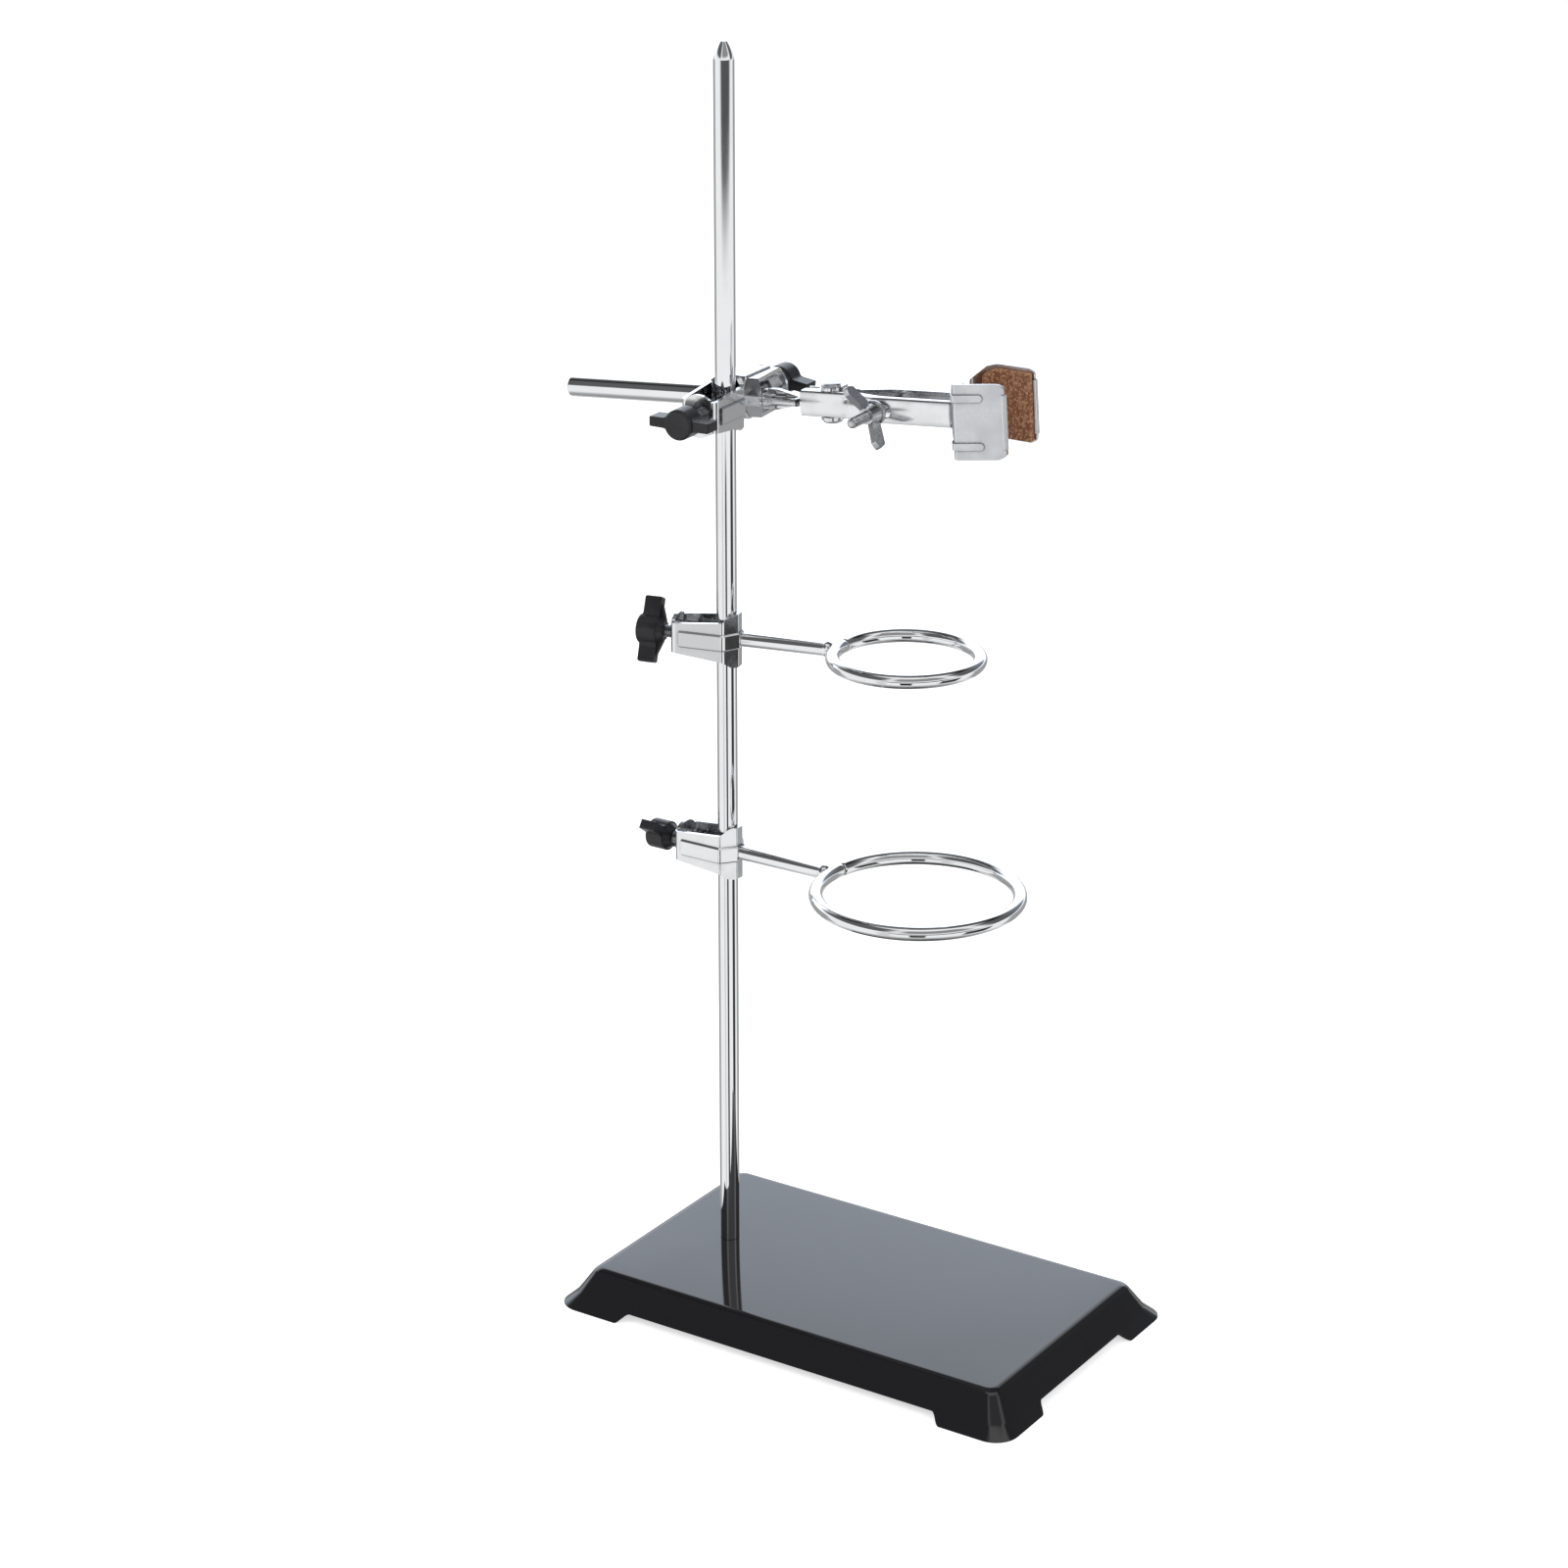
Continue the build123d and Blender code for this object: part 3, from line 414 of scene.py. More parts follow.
def metal(name, colour, smooth, rough, shade, scale, stretch, fine, relief):
    """A plated metal: its colour, its roughness where clean and where handled, its marks, and painted shade that
    darkens its creases.
    """
    material, tree, shader = new_material(name)
    marks = use_group(tree, GROUPS["handling"], Scale=scale, Stretch=stretch, Fine=fine)
    specks = use_group(tree, GROUPS["specks"], Scale=700.0, Size=0.14, Share=0.012)
    shade_in_creases = use_group(tree, GROUPS["crevices"], Reach=0.0018, Patches=600.0)
    shader.inputs["Metallic"].default_value = 1.0
    tone = add_mix(tree, marks["Smudge"], colour, [channel * shade for channel in colour])
    tone = add_mix(tree, specks["Mask"], tone, [channel * SPECK_DARKNESS for channel in colour])
    # Painted shade: creases found by ambient occlusion are darkened towards a dark grey
    darkened = add_math(tree, "MULTIPLY", shade_in_creases["Mask"], CREASE_SHADE_SHARE)
    tree.links.new(add_mix(tree, darkened, tone, CREASE_SHADE_COLOUR), shader.inputs["Base Color"])
    handled = add_range(tree, marks["Smudge"], 0.0, 1.0, smooth, rough)
    streaked = add_math(tree, "MULTIPLY", marks["Streak"], (rough - smooth) * STREAK_SHARE)
    tree.links.new(add_math(tree, "ADD", handled, streaked), shader.inputs["Roughness"])
    add_bump(tree, shader, marks["Height"], relief, PLATE_RELIEF)
    return material


def enamel(colour, smooth, rough):
    """Gloss enamel with a little orange peel, dust nibs and fine rubbing."""
    material, tree, shader = new_material("Black enamel")
    marks = use_group(tree, GROUPS["handling"], Scale=28.0, Stretch=1.0, Fine=260.0)
    nibs = use_group(tree, GROUPS["specks"], Scale=230.0, Size=0.07, Share=0.05)
    tree.links.new(add_mix(tree, nibs["Mask"], colour, NIB_COLOUR), shader.inputs["Base Color"])
    rubbed = add_range(tree, marks["Smudge"], 0.0, 1.0, smooth, rough)
    raised = add_math(tree, "MULTIPLY", nibs["Mask"], NIB_ROUGHNESS)
    tree.links.new(add_math(tree, "ADD", rubbed, raised), shader.inputs["Roughness"])
    shader.inputs["IOR"].default_value = 1.6
    add_bump(tree, shader, marks["Height"], 0.10, ENAMEL_RELIEF)
    return material


def plastic(colour, smooth, rough):
    """Satin moulded plastic with a fine spark-eroded grain."""
    material, tree, shader = new_material("Black plastic")
    marks = use_group(tree, GROUPS["handling"], Scale=90.0, Stretch=1.0, Fine=4200.0)
    worn = [channel * PLASTIC_WEAR for channel in colour]
    tree.links.new(add_mix(tree, marks["Smudge"], colour, worn), shader.inputs["Base Color"])
    tree.links.new(add_range(tree, marks["Streak"], 0.0, 1.0, smooth, rough), shader.inputs["Roughness"])
    shader.inputs["Specular IOR Level"].default_value = 0.3
    add_bump(tree, shader, marks["Height"], 0.35, PLASTIC_RELIEF)
    return material


def cork(dark, light):
    """Pressed cork: granules of two browns with dark gaps."""
    material, tree, shader = new_material("Cork")
    grains = use_group(tree, GROUPS["granules"], Scale=1.0 / sizes().cork_grain)
    fine = use_group(tree, GROUPS["granules"], Scale=GRAIN_FINENESS / sizes().cork_grain)
    tone = add_mix(tree, add_range(tree, grains["Tone"], 0.25, 0.8), dark, light)
    tone = add_mix(tree, add_math(tree, "MULTIPLY", fine["Tone"], 0.35), tone, dark)
    gap = add_math(tree, "MULTIPLY", grains["Gap"], GRAIN_GAP_SHARE)
    tree.links.new(add_mix(tree, gap, tone, GRAIN_GAP_COLOUR), shader.inputs["Base Color"])
    shader.inputs["Roughness"].default_value = 0.9
    shader.inputs["Specular IOR Level"].default_value = 0.2
    height = add_math(tree, "ADD", grains["Height"], add_math(tree, "MULTIPLY", fine["Height"], 0.4))
    add_bump(tree, shader, height, 0.8, CORK_RELIEF)
    return material


def make_finishes():
    """Every finish, once."""
    GROUPS["handling"] = handling_group()
    GROUPS["specks"] = speck_group()
    # Painted shade for the creases of the metals
    GROUPS["crevices"] = painted_crease_shade_group()
    GROUPS["granules"] = granule_group()
    colours = finishes()
    FINISHES["chromed_rod"] = metal(
        "Chrome", tuple(colours.chrome), smooth=0.025, rough=0.06, shade=0.97,
        scale=45.0, stretch=0.2, fine=900.0, relief=0.03,
    )
    FINISHES["plated_sheet"] = metal(
        "Plated sheet", tuple(colours.sheet), smooth=0.11, rough=0.19, shade=0.96,
        scale=120.0, stretch=0.35, fine=1500.0, relief=0.08,
    )
    FINISHES["satin_sheet"] = metal(
        "Satin sheet", tuple(colours.satin), smooth=0.27, rough=0.34, shade=0.97,
        scale=120.0, stretch=0.35, fine=1500.0, relief=0.15,
    )
    FINISHES["zinc_fastener"] = metal(
        "Zinc plate", tuple(colours.zinc), smooth=0.16, rough=0.32, shade=0.80,
        scale=260.0, stretch=1.0, fine=1800.0, relief=0.35,
    )
    FINISHES["black_enamel"] = enamel(tuple(colours.enamel), smooth=0.05, rough=0.075)
    FINISHES["black_plastic"] = plastic(tuple(colours.plastic), smooth=0.22, rough=0.34)
    FINISHES["cork"] = cork(tuple(colours.cork_dark), tuple(colours.cork_light))


# Meshes

def finish_piece(name, shape, nodes, slot, sharp=30.0, finish=None):
    """The finished object of a shape: placed on its body, for the nodes that it replaces."""
    bmesh.ops.remove_doubles(shape, verts=shape.verts, dist=MERGE)
    bmesh.ops.recalc_face_normals(shape, faces=shape.faces)
    mesh = bpy.data.meshes.new(name)
    shape.to_mesh(mesh)
    shape.free()
    mesh.shade_smooth()
    mesh.set_sharp_from_angle(angle=math.radians(sharp))
    piece = bpy.data.objects.new(name, mesh)
    bpy.context.scene.collection.objects.link(piece)
    mesh.materials.append(FINISHES[finish or slot])
    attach(piece, BODY_OF[nodes[0]])
    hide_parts(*nodes)
    return piece


def merged_copy(node):
    """A node's surface as one mesh, its flat faces whole again."""
    shape = bmesh.new()
    shape.from_mesh(frame["nodes"][node].data)
    bmesh.ops.remove_doubles(shape, verts=shape.verts, dist=MERGE)
    bmesh.ops.dissolve_limit(
        shape, angle_limit=math.radians(FLAT_ANGLE), verts=shape.verts, edges=shape.edges,
        delimit={"NORMAL"},
    )
    return shape


def soften_edges(piece, width, segments=2):
    """Round the edges of a pressed or moulded piece."""
    rounding = piece.modifiers.new("Rounded edges", "BEVEL")
    rounding.width = width
    rounding.segments = segments
    rounding.limit_method = "ANGLE"
    rounding.angle_limit = math.radians(CORNER_ANGLE)
    rounding.use_clamp_overlap = True
    rounding.harden_normals = False
    shading = piece.modifiers.new("Even shading", "WEIGHTED_NORMAL")
    shading.keep_sharp = False


def dressed_copy(node, slot, edge, segments=2, finish=None):
    """A node's own shape with rounded edges and its finish."""
    piece = finish_piece(f"{node}_finished", merged_copy(node), [node], slot, CORNER_ANGLE, finish)
    soften_edges(piece, edge, segments)


def add_shape(target, part, place=None):
    """Put a shape into another one, moved to its place."""
    mesh = bpy.data.meshes.new("part")
    part.to_mesh(mesh)
    part.free()
    if place is not None:
        mesh.transform(place)
    target.from_mesh(mesh)
    bpy.data.meshes.remove(mesh)


def lathe(outline, steps):
    """A turned shape about Z from its (radius, height) outline."""
    shape = bmesh.new()
    points = [shape.verts.new((radius, 0, height)) for radius, height in outline]
    edges = [shape.edges.new(pair) for pair in zip(points, points[1:])]
    bmesh.ops.spin(
        shape, geom=points + edges, cent=(0, 0, 0), axis=(0, 0, 1), dvec=(0, 0, 0),
        angle=FULL_TURN, steps=steps, use_merge=True,
    )
    return shape


def thread(radius, pitch, low, high):
    """A right-hand thread about Z with a core, its first and last turns run out to the root."""
    root = radius - THREAD_DEPTH * pitch
    shape = bmesh.new()
    rise, fall = THREAD_CREST
    form = ((root, 0.0), (radius, rise), (radius, fall), (root, THREAD_FOOT), (root, 1.0))
    points = [shape.verts.new((reach, 0, low + share * pitch)) for reach, share in form]
    edges = [shape.edges.new(pair) for pair in zip(points, points[1:])]
    turns = int((high - low) / pitch) - 1
    bmesh.ops.spin(
        shape, geom=points + edges, cent=(0, 0, 0), axis=(0, 0, 1), dvec=(0, 0, pitch / THREAD_STEPS),
        angle=FULL_TURN * turns, steps=THREAD_STEPS * turns, use_merge=False,
    )
    for vert in shape.verts:
        reach = math.hypot(vert.co.x, vert.co.y)
        end = min(vert.co.z - low, high - vert.co.z) / (THREAD_RUN_OUT * pitch)
        wanted = min(reach, root + (radius - root) * max(end, 0.0))
        vert.co.x *= wanted / reach
        vert.co.y *= wanted / reach
    core = root - CORE_INSET
    bottom, top = low - THREAD_OVERHANG * pitch, high + THREAD_OVERHANG * pitch
    outline = [(0, bottom), (core - CORE_CHAMFER, bottom), (core, low + CORE_CHAMFER)]
    outline += [(core, high - CORE_CHAMFER), (core - CORE_CHAMFER, top), (0, top)]
    add_shape(shape, lathe(outline, THREAD_STEPS))
    return shape


# Places

def joint_place(name):
    """Where a joint turns."""
    return Vector(JOINTS[name]["pos_m"])


def joint_axis(name):
    """The direction that a joint turns about or slides along."""
    return Vector(JOINTS[name]["axis"]).normalized()


def axes_place(origin, along, up):
    """The matrix of a frame whose X runs along a direction and whose Z is nearest to up."""
    side = up.cross(along).normalized()
    top = along.cross(side)
    return Matrix.Translation(origin) @ Matrix((along, side, top)).transposed().to_4x4()


def spindle_place(name):
    """A frame on a thumbscrew whose Z points out of the knob, with its origin at the knob's joint."""
    turn = joint_axis(f"{name}_screw_travel").to_track_quat("Z", "Y").to_matrix().to_4x4()
    return Matrix.Translation(joint_place(f"{name}_knob_turn")) @ turn


def bar_place():
    """The clamp rod's frame: X along the rod to the jaws, Z upwards, origin beside the column."""
    along = joint_axis("clamp_bar_slide")
    out = joint_axis("boss_rear_knob_turn")
    origin = joint_place("boss_rear_knob_turn") - out * KNOB_JOINT_REACH
    return axes_place(origin, along, Vector((0, 0, 1)))


def on_x(place):
    """A frame whose Z is the given frame's X."""
    return place @ Matrix.Rotation(math.pi / 2, 4, "Y")


# Base plate

def notch_height(place, half_side):
    """How far the skirt's rim rises at a place along a side."""
    into = (half_side - FOOT_LENGTH + (NOTCH_RUN - NOTCH_HEIGHT) / 2 - abs(place)) / NOTCH_RUN
    share = min(max(into, 0.0), 1.0)
    return NOTCH_HEIGHT * share * share * (3 - 2 * share)


def skirt_inset(height, top):
    """How far inside its footprint the skirt's outer face is at a height."""
    if height < SKIRT_BEND_HEIGHT:
        return SKIRT_BEND_INSET * height / SKIRT_BEND_HEIGHT
    share = (height - SKIRT_BEND_HEIGHT) / (top - SKIRT_BEND_HEIGHT)
    return SKIRT_BEND_INSET + (SKIRT_TOP_INSET - SKIRT_BEND_INSET) * share


def side_places(half_side):
    """Places along a side, close together where the rim rises into its notch."""
    end = half_side - FOOT_LENGTH
    near = [end + NOTCH_FIRST - NOTCH_STEP * number for number in range(NOTCH_LINES)]
    middle = [near[-1] * share for share in SIDE_SHARES]
    half = near + middle
    return [-place for place in half] + [0.0] + half[::-1]


def base_line(shape, half, inset, height, over_notch, top):
    """A closed line round the base plate; one over the notches stays on the skirt as it rises."""
    corner = max(BASE_CORNER - inset / 2, LEAST_CORNER)
    points = []
    for side in range(4):
        along, across = (half.x, half.y) if side % 2 == 0 else (half.y, half.x)
        turn = Matrix.Rotation(side * math.pi / 2, 3, "Z")
        for place in side_places(along):
            rise = notch_height(place, along) if over_notch else 0.0
            shift = skirt_inset(height + rise, top) - skirt_inset(height, top)
            points.append(turn @ Vector((place, inset + shift - across, height + rise)))
        for number in range(CORNER_STEPS + 1):
            angle = -math.pi / 2 + math.pi / 2 * number / CORNER_STEPS
            reach = Vector((math.cos(angle), math.sin(angle), 0)) * corner
            centre = Vector((along - inset - corner, corner + inset - across, height))
            points.append(turn @ (centre + reach))
    verts = [shape.verts.new(point) for point in points]
    return [shape.edges.new(pair) for pair in zip(verts, verts[1:] + verts[:1])]


def hole_line(shape, height):
    """The edge of the column's hole."""
    made = bmesh.ops.create_circle(
        shape, segments=HOLE_STEPS, radius=FOOT_HOLE_RADIUS, cap_ends=False
    )
    place = Matrix.Translation((joint_place("column_turn").x, 0, height))
    bmesh.ops.transform(shape, matrix=place, verts=made["verts"])
    return list({edge for vert in made["verts"] for edge in vert.link_edges})


def base_piece():
    """The pressed base plate: its skirt, its rounded top edge, its rim with notches and its inside."""
    low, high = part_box("base_plate")
    half, top = (high - low) / 2, high.z
    slope = Vector((SKIRT_TOP_INSET - SKIRT_BEND_INSET, top - SKIRT_BEND_HEIGHT)).normalized()
    out = Vector((-slope.y, slope.x))
    meet = top - BASE_TOP_EDGE * (1 - out.y)
    centre = Vector((skirt_inset(meet, top), meet)) - out * BASE_TOP_EDGE
    outer = [(SKIRT_RIM_ROUND, 0.0, True), (0.0, SKIRT_RIM_ROUND, True)]
    outer += [(skirt_inset(height, top), height, False) for height in SKIRT_BEND_LINES]
    start = math.atan2(out.y, out.x)
    for number in range(EDGE_STEPS + 1):
        angle = start + (math.pi / 2 - start) * number / EDGE_STEPS
        spot = centre + Vector((math.cos(angle), math.sin(angle))) * BASE_TOP_EDGE
        outer.append((spot.x, spot.y, False))
    under = top - BASE_SHEET
    inner = [(SKIRT_WALL, 0.0, True), (SKIRT_WALL + SKIRT_BEND_INSET, SKIRT_BEND_HEIGHT, False)]
    inner.append((SKIRT_WALL + SKIRT_TOP_INSET, under, False))
    shape = bmesh.new()
    rows = [base_line(shape, half, *row, top) for row in outer[::-1] + inner]
    for upper, lower in zip(rows, rows[1:]):
        bmesh.ops.bridge_loops(shape, edges=upper + lower)
    holes = [hole_line(shape, top), hole_line(shape, under)]
    for row, hole in zip((rows[0], rows[-1]), holes):
        bmesh.ops.triangle_fill(shape, edges=row + hole, use_beauty=True)
    bmesh.ops.bridge_loops(shape, edges=holes[0] + holes[1])
    finish_piece("base_cover", shape, ["base_plate"], "black_enamel", sharp=50.0)


def column_piece():
    """The column: a turned rod with a blunt point and a reduced foot."""
    low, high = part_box("column_rod")
    top, foot = high.z, low.z
    shoulder = joint_place("column_turn").z
    tip, length = sizes().tip_radius, sizes().tip_length
    outline = [(0, top)]
    for number in range(POINT_RINGS + 1):
        share = number / POINT_RINGS
        swell = POINT_SWELL * 4 * share * (1 - share)
        outline.append((tip + (ROD_RADIUS - tip) * share + swell, top - length * share))
    outline += [(ROD_RADIUS, shoulder + SHOULDER_CHAMFER), (ROD_RADIUS - SHOULDER_CHAMFER, shoulder)]
    outline += [(FOOT_RADIUS, shoulder), (FOOT_RADIUS, foot + FOOT_CHAMFER)]
    outline += [(FOOT_RADIUS - FOOT_CHAMFER, foot), (0, foot)]
    rod = bmesh.new()
    place = Matrix.Translation((joint_place("column_turn").x, 0, 0))
    add_shape(rod, lathe(outline, sizes().turned_steps), place)
    finish_piece("column", rod, ["column_rod"], "chromed_rod")


def clamp_rod_piece():
    """The clamp's rod, chamfered at its free end, with the spigot in the neck."""
    spigot_end = BAR_FRONT + SPIGOT_LENGTH
    outline = [(0, -BAR_BACK), (ROD_RADIUS - BAR_CHAMFER, -BAR_BACK)]
    outline += [(ROD_RADIUS, BAR_CHAMFER - BAR_BACK), (ROD_RADIUS, BAR_FRONT)]
    outline += [(SPIGOT_RADIUS, BAR_FRONT), (SPIGOT_RADIUS, spigot_end), (0, spigot_end)]
    rod = bmesh.new()
    add_shape(rod, lathe(outline, sizes().turned_steps), on_x(bar_place()))
    finish_piece("clamp_bar", rod, ["clamp_rod"], "chromed_rod")


def thumbscrew_piece(name):
    """A threaded shank, from the rod that it presses on to the bottom of the knob's bore."""
    place = spindle_place(name)
    low, high = SCREW_TIP_REACH - KNOB_JOINT_REACH, SCREW_BORE_REACH - KNOB_JOINT_REACH
    shank = bmesh.new()
    add_shape(shank, thread(SCREW_RADIUS, sizes().screw_pitch, low, high), place)
    finish_piece(f"{name}_thumbscrew", shank, [f"{name}_screw"], "zinc_fastener", sharp=50.0)


def bolt_piece():
    """The adjusting bolt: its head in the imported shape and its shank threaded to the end."""
    place = bar_place() @ Matrix.Translation((BOLT_U, 0, 0)) @ Matrix.Rotation(math.pi / 2, 4, "X")
    shank = bmesh.new()
    add_shape(shank, thread(BOLT_RADIUS, sizes().bolt_pitch, -BOLT_HEAD_REACH, BOLT_TIP_REACH), place)
    head = merged_copy("clamp_bolt")
    inverse = place.inverted()
    head_end = BOLT_HEAD_MARGIN - BOLT_HEAD_REACH
    beyond = [vert for vert in head.verts if (inverse @ vert.co).z > head_end]
    bmesh.ops.delete(head, geom=beyond, context="VERTS")
    add_shape(shank, head)
    finish_piece("adjusting_bolt", shank, ["clamp_bolt"], "zinc_fastener", sharp=50.0)


def hoop_shape(centre, ring_radius, seam_turn):
    """A wire hoop with its ends butted at a seam."""
    shape = bmesh.new()
    wire = bmesh.ops.create_circle(shape, segments=WIRE_STEPS, radius=WIRE_RADIUS, cap_ends=False)
    stand = Matrix.Translation((ring_radius, 0, 0)) @ Matrix.Rotation(math.pi / 2, 4, "X")
    bmesh.ops.transform(shape, matrix=stand, verts=wire["verts"])
    gap = sizes().seam_gap / ring_radius
    bmesh.ops.spin(
        shape, geom=shape.verts[:] + shape.edges[:], cent=(0, 0, 0), axis=(0, 0, 1), dvec=(0, 0, 0),
        angle=FULL_TURN - gap, steps=HOOP_STEPS, use_merge=False,
    )
    rims = [edge for edge in shape.edges if edge.is_boundary]
    caps = bmesh.ops.holes_fill(shape, edges=rims, sides=0)["faces"]
    rims = [edge for face in caps for edge in face.edges]
    bmesh.ops.bevel(
        shape, geom=rims, offset=SEAM_ROUND, offset_type="OFFSET", segments=2, profile=0.5,
        affect="EDGES", material=-1, clamp_overlap=True,
    )
    place = Matrix.Translation(centre) @ Matrix.Rotation(seam_turn + gap / 2, 4, "Z")
    bmesh.ops.transform(shape, matrix=place, verts=shape.verts)
    return shape


def arm_shape(reach):
    """A ring's arm along Z: its riveted tail, its shank and the weld bead at the hoop."""
    bead = sizes().weld_length
    inner = NOSE_FACE - STRAP_SHEET
    weld = reach - WIRE_RADIUS - bead
    crown, shoulder, spread = TAIL_HEAD
    outline = [(0, inner - crown), (TAIL_RADIUS + crown, inner - shoulder), (TAIL_RADIUS + spread, inner)]
    outline += [(TAIL_RADIUS, inner), (TAIL_RADIUS, NOSE_FACE), (WIRE_RADIUS - ARM_CHAMFER, NOSE_FACE)]
    outline += [(WIRE_RADIUS, NOSE_FACE + ARM_CHAMFER), (WIRE_RADIUS, weld)]
    for number in range(1, WELD_RINGS + 1):
        share = number / WELD_RINGS
        swell = WELD_SWELL * math.sin(math.pi * share) ** WELD_FULLNESS
        outline.append((WIRE_RADIUS + swell, weld + bead * share * WELD_SPREAD))
    outline.append((0, reach))
    shape = lathe(outline, ARM_STEPS)
    for vert in shape.verts:
        if vert.co.z > weld:
            lump = noise.noise(vert.co * WELD_LUMP_FREQUENCY) * WELD_LUMP
            vert.co.x *= 1 + lump / WIRE_RADIUS
            vert.co.y *= 1 + lump / WIRE_RADIUS
    return shape


def ring_pieces(name):
    """A support ring: its hoop and its arm."""
    low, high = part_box(f"{name}_hoop")
    centre = (low + high) / 2
    ring_radius = (high.x - low.x) / 2 - WIRE_RADIUS
    column = joint_place("column_turn")
    column.z = centre.z
    along = (centre - column).normalized()
    turn = math.atan2(-along.y, -along.x)
    hoop = hoop_shape(centre, ring_radius, turn - SEAM_REACH / ring_radius)
    finish_piece(f"{name}_wire_hoop", hoop, [f"{name}_hoop"], "chromed_rod")
    arm = bmesh.new()
    reach = (centre - column).length - ring_radius
    place = on_x(axes_place(column, along, Vector((0, 0, 1))))
    add_shape(arm, arm_shape(reach), place)
    finish_piece(f"{name}_wire_arm", arm, [f"{name}_arm"], "chromed_rod", sharp=40.0)


def cork_piece(node):
    """A liner with the crumbly surface of pressed cork."""
    shape = merged_copy(node)
    bmesh.ops.triangulate(shape, faces=shape.faces)
    mesh = bpy.data.meshes.new("liner")
    shape.to_mesh(mesh)
    shape.free()
    block = bpy.data.objects.new("liner", mesh)
    bpy.context.scene.collection.objects.link(block)
    grid = block.modifiers.new("Even grid", "REMESH")
    grid.mode = "VOXEL"
    grid.voxel_size = CORK_VOXEL
    seen = block.evaluated_get(bpy.context.evaluated_depsgraph_get())
    fine = bpy.data.meshes.new_from_object(seen)
    liner = bmesh.new()
    liner.from_mesh(fine)
    bpy.data.objects.remove(block)
    liner.normal_update()
    frequency = 1.0 / sizes().cork_grain
    for vert in liner.verts:
        distances, _ = noise.voronoi(vert.co * frequency)
        crumb = min(distances[1] - distances[0], CRUMB_REACH) - CRUMB_REACH
        vert.co += vert.normal * crumb * CRUMB_DEPTH
    finish_piece(f"{node}_liner", liner, [node], "cork", sharp=180.0)


def finger_piece(node):
    """A finger whose outer face is crowned like half a tube."""
    place = bar_place()
    shape = merged_copy(node)
    up = place.to_3x3() @ Vector((0, 0, 1))
    for number in range(-CROWN_ROWS, CROWN_ROWS + 1):
        level = FINGER_HALF_HEIGHT * number / (CROWN_ROWS + 1)
        whole = shape.verts[:] + shape.edges[:] + shape.faces[:]
        bmesh.ops.bisect_plane(
            shape, geom=whole, dist=MERGE, plane_co=place @ Vector((0, 0, level)), plane_no=up
        )
    inverse = place.inverted()
    for vert in shape.verts:
        spot = inverse @ vert.co
        share = min(max((spot.x - FINGER_BOW[0]) / (FINGER_BOW[1] - FINGER_BOW[0]), 0.0), 1.0)
        face = FINGER_NEAR + (FINGER_FAR - FINGER_NEAR) * share
        depth = face - abs(spot.y)
        wanted = FINGER_CROWN * (spot.z / FINGER_HALF_HEIGHT) ** 2
        if abs(spot.z) < FINGER_HALF_HEIGHT and -FINGER_SKIN < depth < min(wanted, FINGER_SKIN):
            spot.y -= math.copysign(wanted - max(depth, 0.0), spot.y)
            vert.co = place @ spot
    piece = finish_piece(f"{node}_finished", shape, [node], "plated_sheet", CORNER_ANGLE)
    soften_edges(piece, 0.2 * MM)


# Operators

class RETORT_OT_base(Operator):
    """Finish the pressed base plate, its washer and its nut"""

    bl_idname = "retort.base"
    bl_label = "Base"

    def execute(self, context):
        base_piece()
        dressed_copy("column_washer", "zinc_fastener", 0.15 * MM)
        dressed_copy("column_nut", "zinc_fastener", 0.15 * MM)
        return {"FINISHED"}


class RETORT_OT_rods(Operator):
    """Turn the column and the clamp rod"""

    bl_idname = "retort.rods"
    bl_label = "Rods"

    def execute(self, context):
        column_piece()
        clamp_rod_piece()
        return {"FINISHED"}


class RETORT_OT_straps(Operator):
    """Finish the four pressed straps, their nuts and the rivet of the boss"""

    bl_idname = "retort.straps"
    bl_label = "Straps"

    def execute(self, context):
        for clamp in CLAMPS:
            dressed_copy(f"{clamp}_strap", "plated_sheet", 0.16 * MM)
            dressed_copy(f"{clamp}_nut", "zinc_fastener", 0.12 * MM)
        dressed_copy("boss_rivet", "zinc_fastener", 0.1 * MM)
        return {"FINISHED"}


class RETORT_OT_rings(Operator):
    """Bend the two support rings and weld them to their arms"""

    bl_idname = "retort.rings"
    bl_label = "Support rings"

    def execute(self, context):
        for clamp in RING_CLAMPS:
            ring_pieces(clamp)
        return {"FINISHED"}


class RETORT_OT_thumbscrews(Operator):
    """Thread the four thumbscrews and finish their knobs"""

    bl_idname = "retort.thumbscrews"
    bl_label = "Thumbscrews"

    def execute(self, context):
        for clamp in CLAMPS:
            thumbscrew_piece(clamp)
            dressed_copy(f"{clamp}_knob", "black_plastic", 0.5 * MM, 3)
        return {"FINISHED"}


class RETORT_OT_gripper(Operator):
    """Finish the jaw clamp: neck, fingers, jaws, rivet, bolt, washer and wing nut"""

    bl_idname = "retort.gripper"
    bl_label = "Jaw clamp"

    def execute(self, context):
        dressed_copy("gripper_neck", "plated_sheet", 0.25 * MM)
        for side in ("back", "front"):
            finger_piece(f"{side}_finger")
            dressed_copy(f"{side}_jaw", "plated_sheet", 0.14 * MM, finish="satin_sheet")
            cork_piece(f"{side}_cork")
        dressed_copy("pivot_rivet", "zinc_fastener", 0.1 * MM)
        dressed_copy("bolt_washer", "zinc_fastener", 0.15 * MM)
        dressed_copy("wing_nut", "zinc_fastener", 0.4 * MM, 3)
        bolt_piece()
        return {"FINISHED"}


class RETORT_OT_stage(Operator):
    """Lay the floor, light the stand and place the camera"""

    bl_idname = "retort.stage"
    bl_label = "Stage"

    def execute(self, context):
        make_floor()
        make_world()
        make_lamps()
        make_camera()
        context.scene.view_settings.view_transform = "Standard"
        return {"FINISHED"}


# Stage

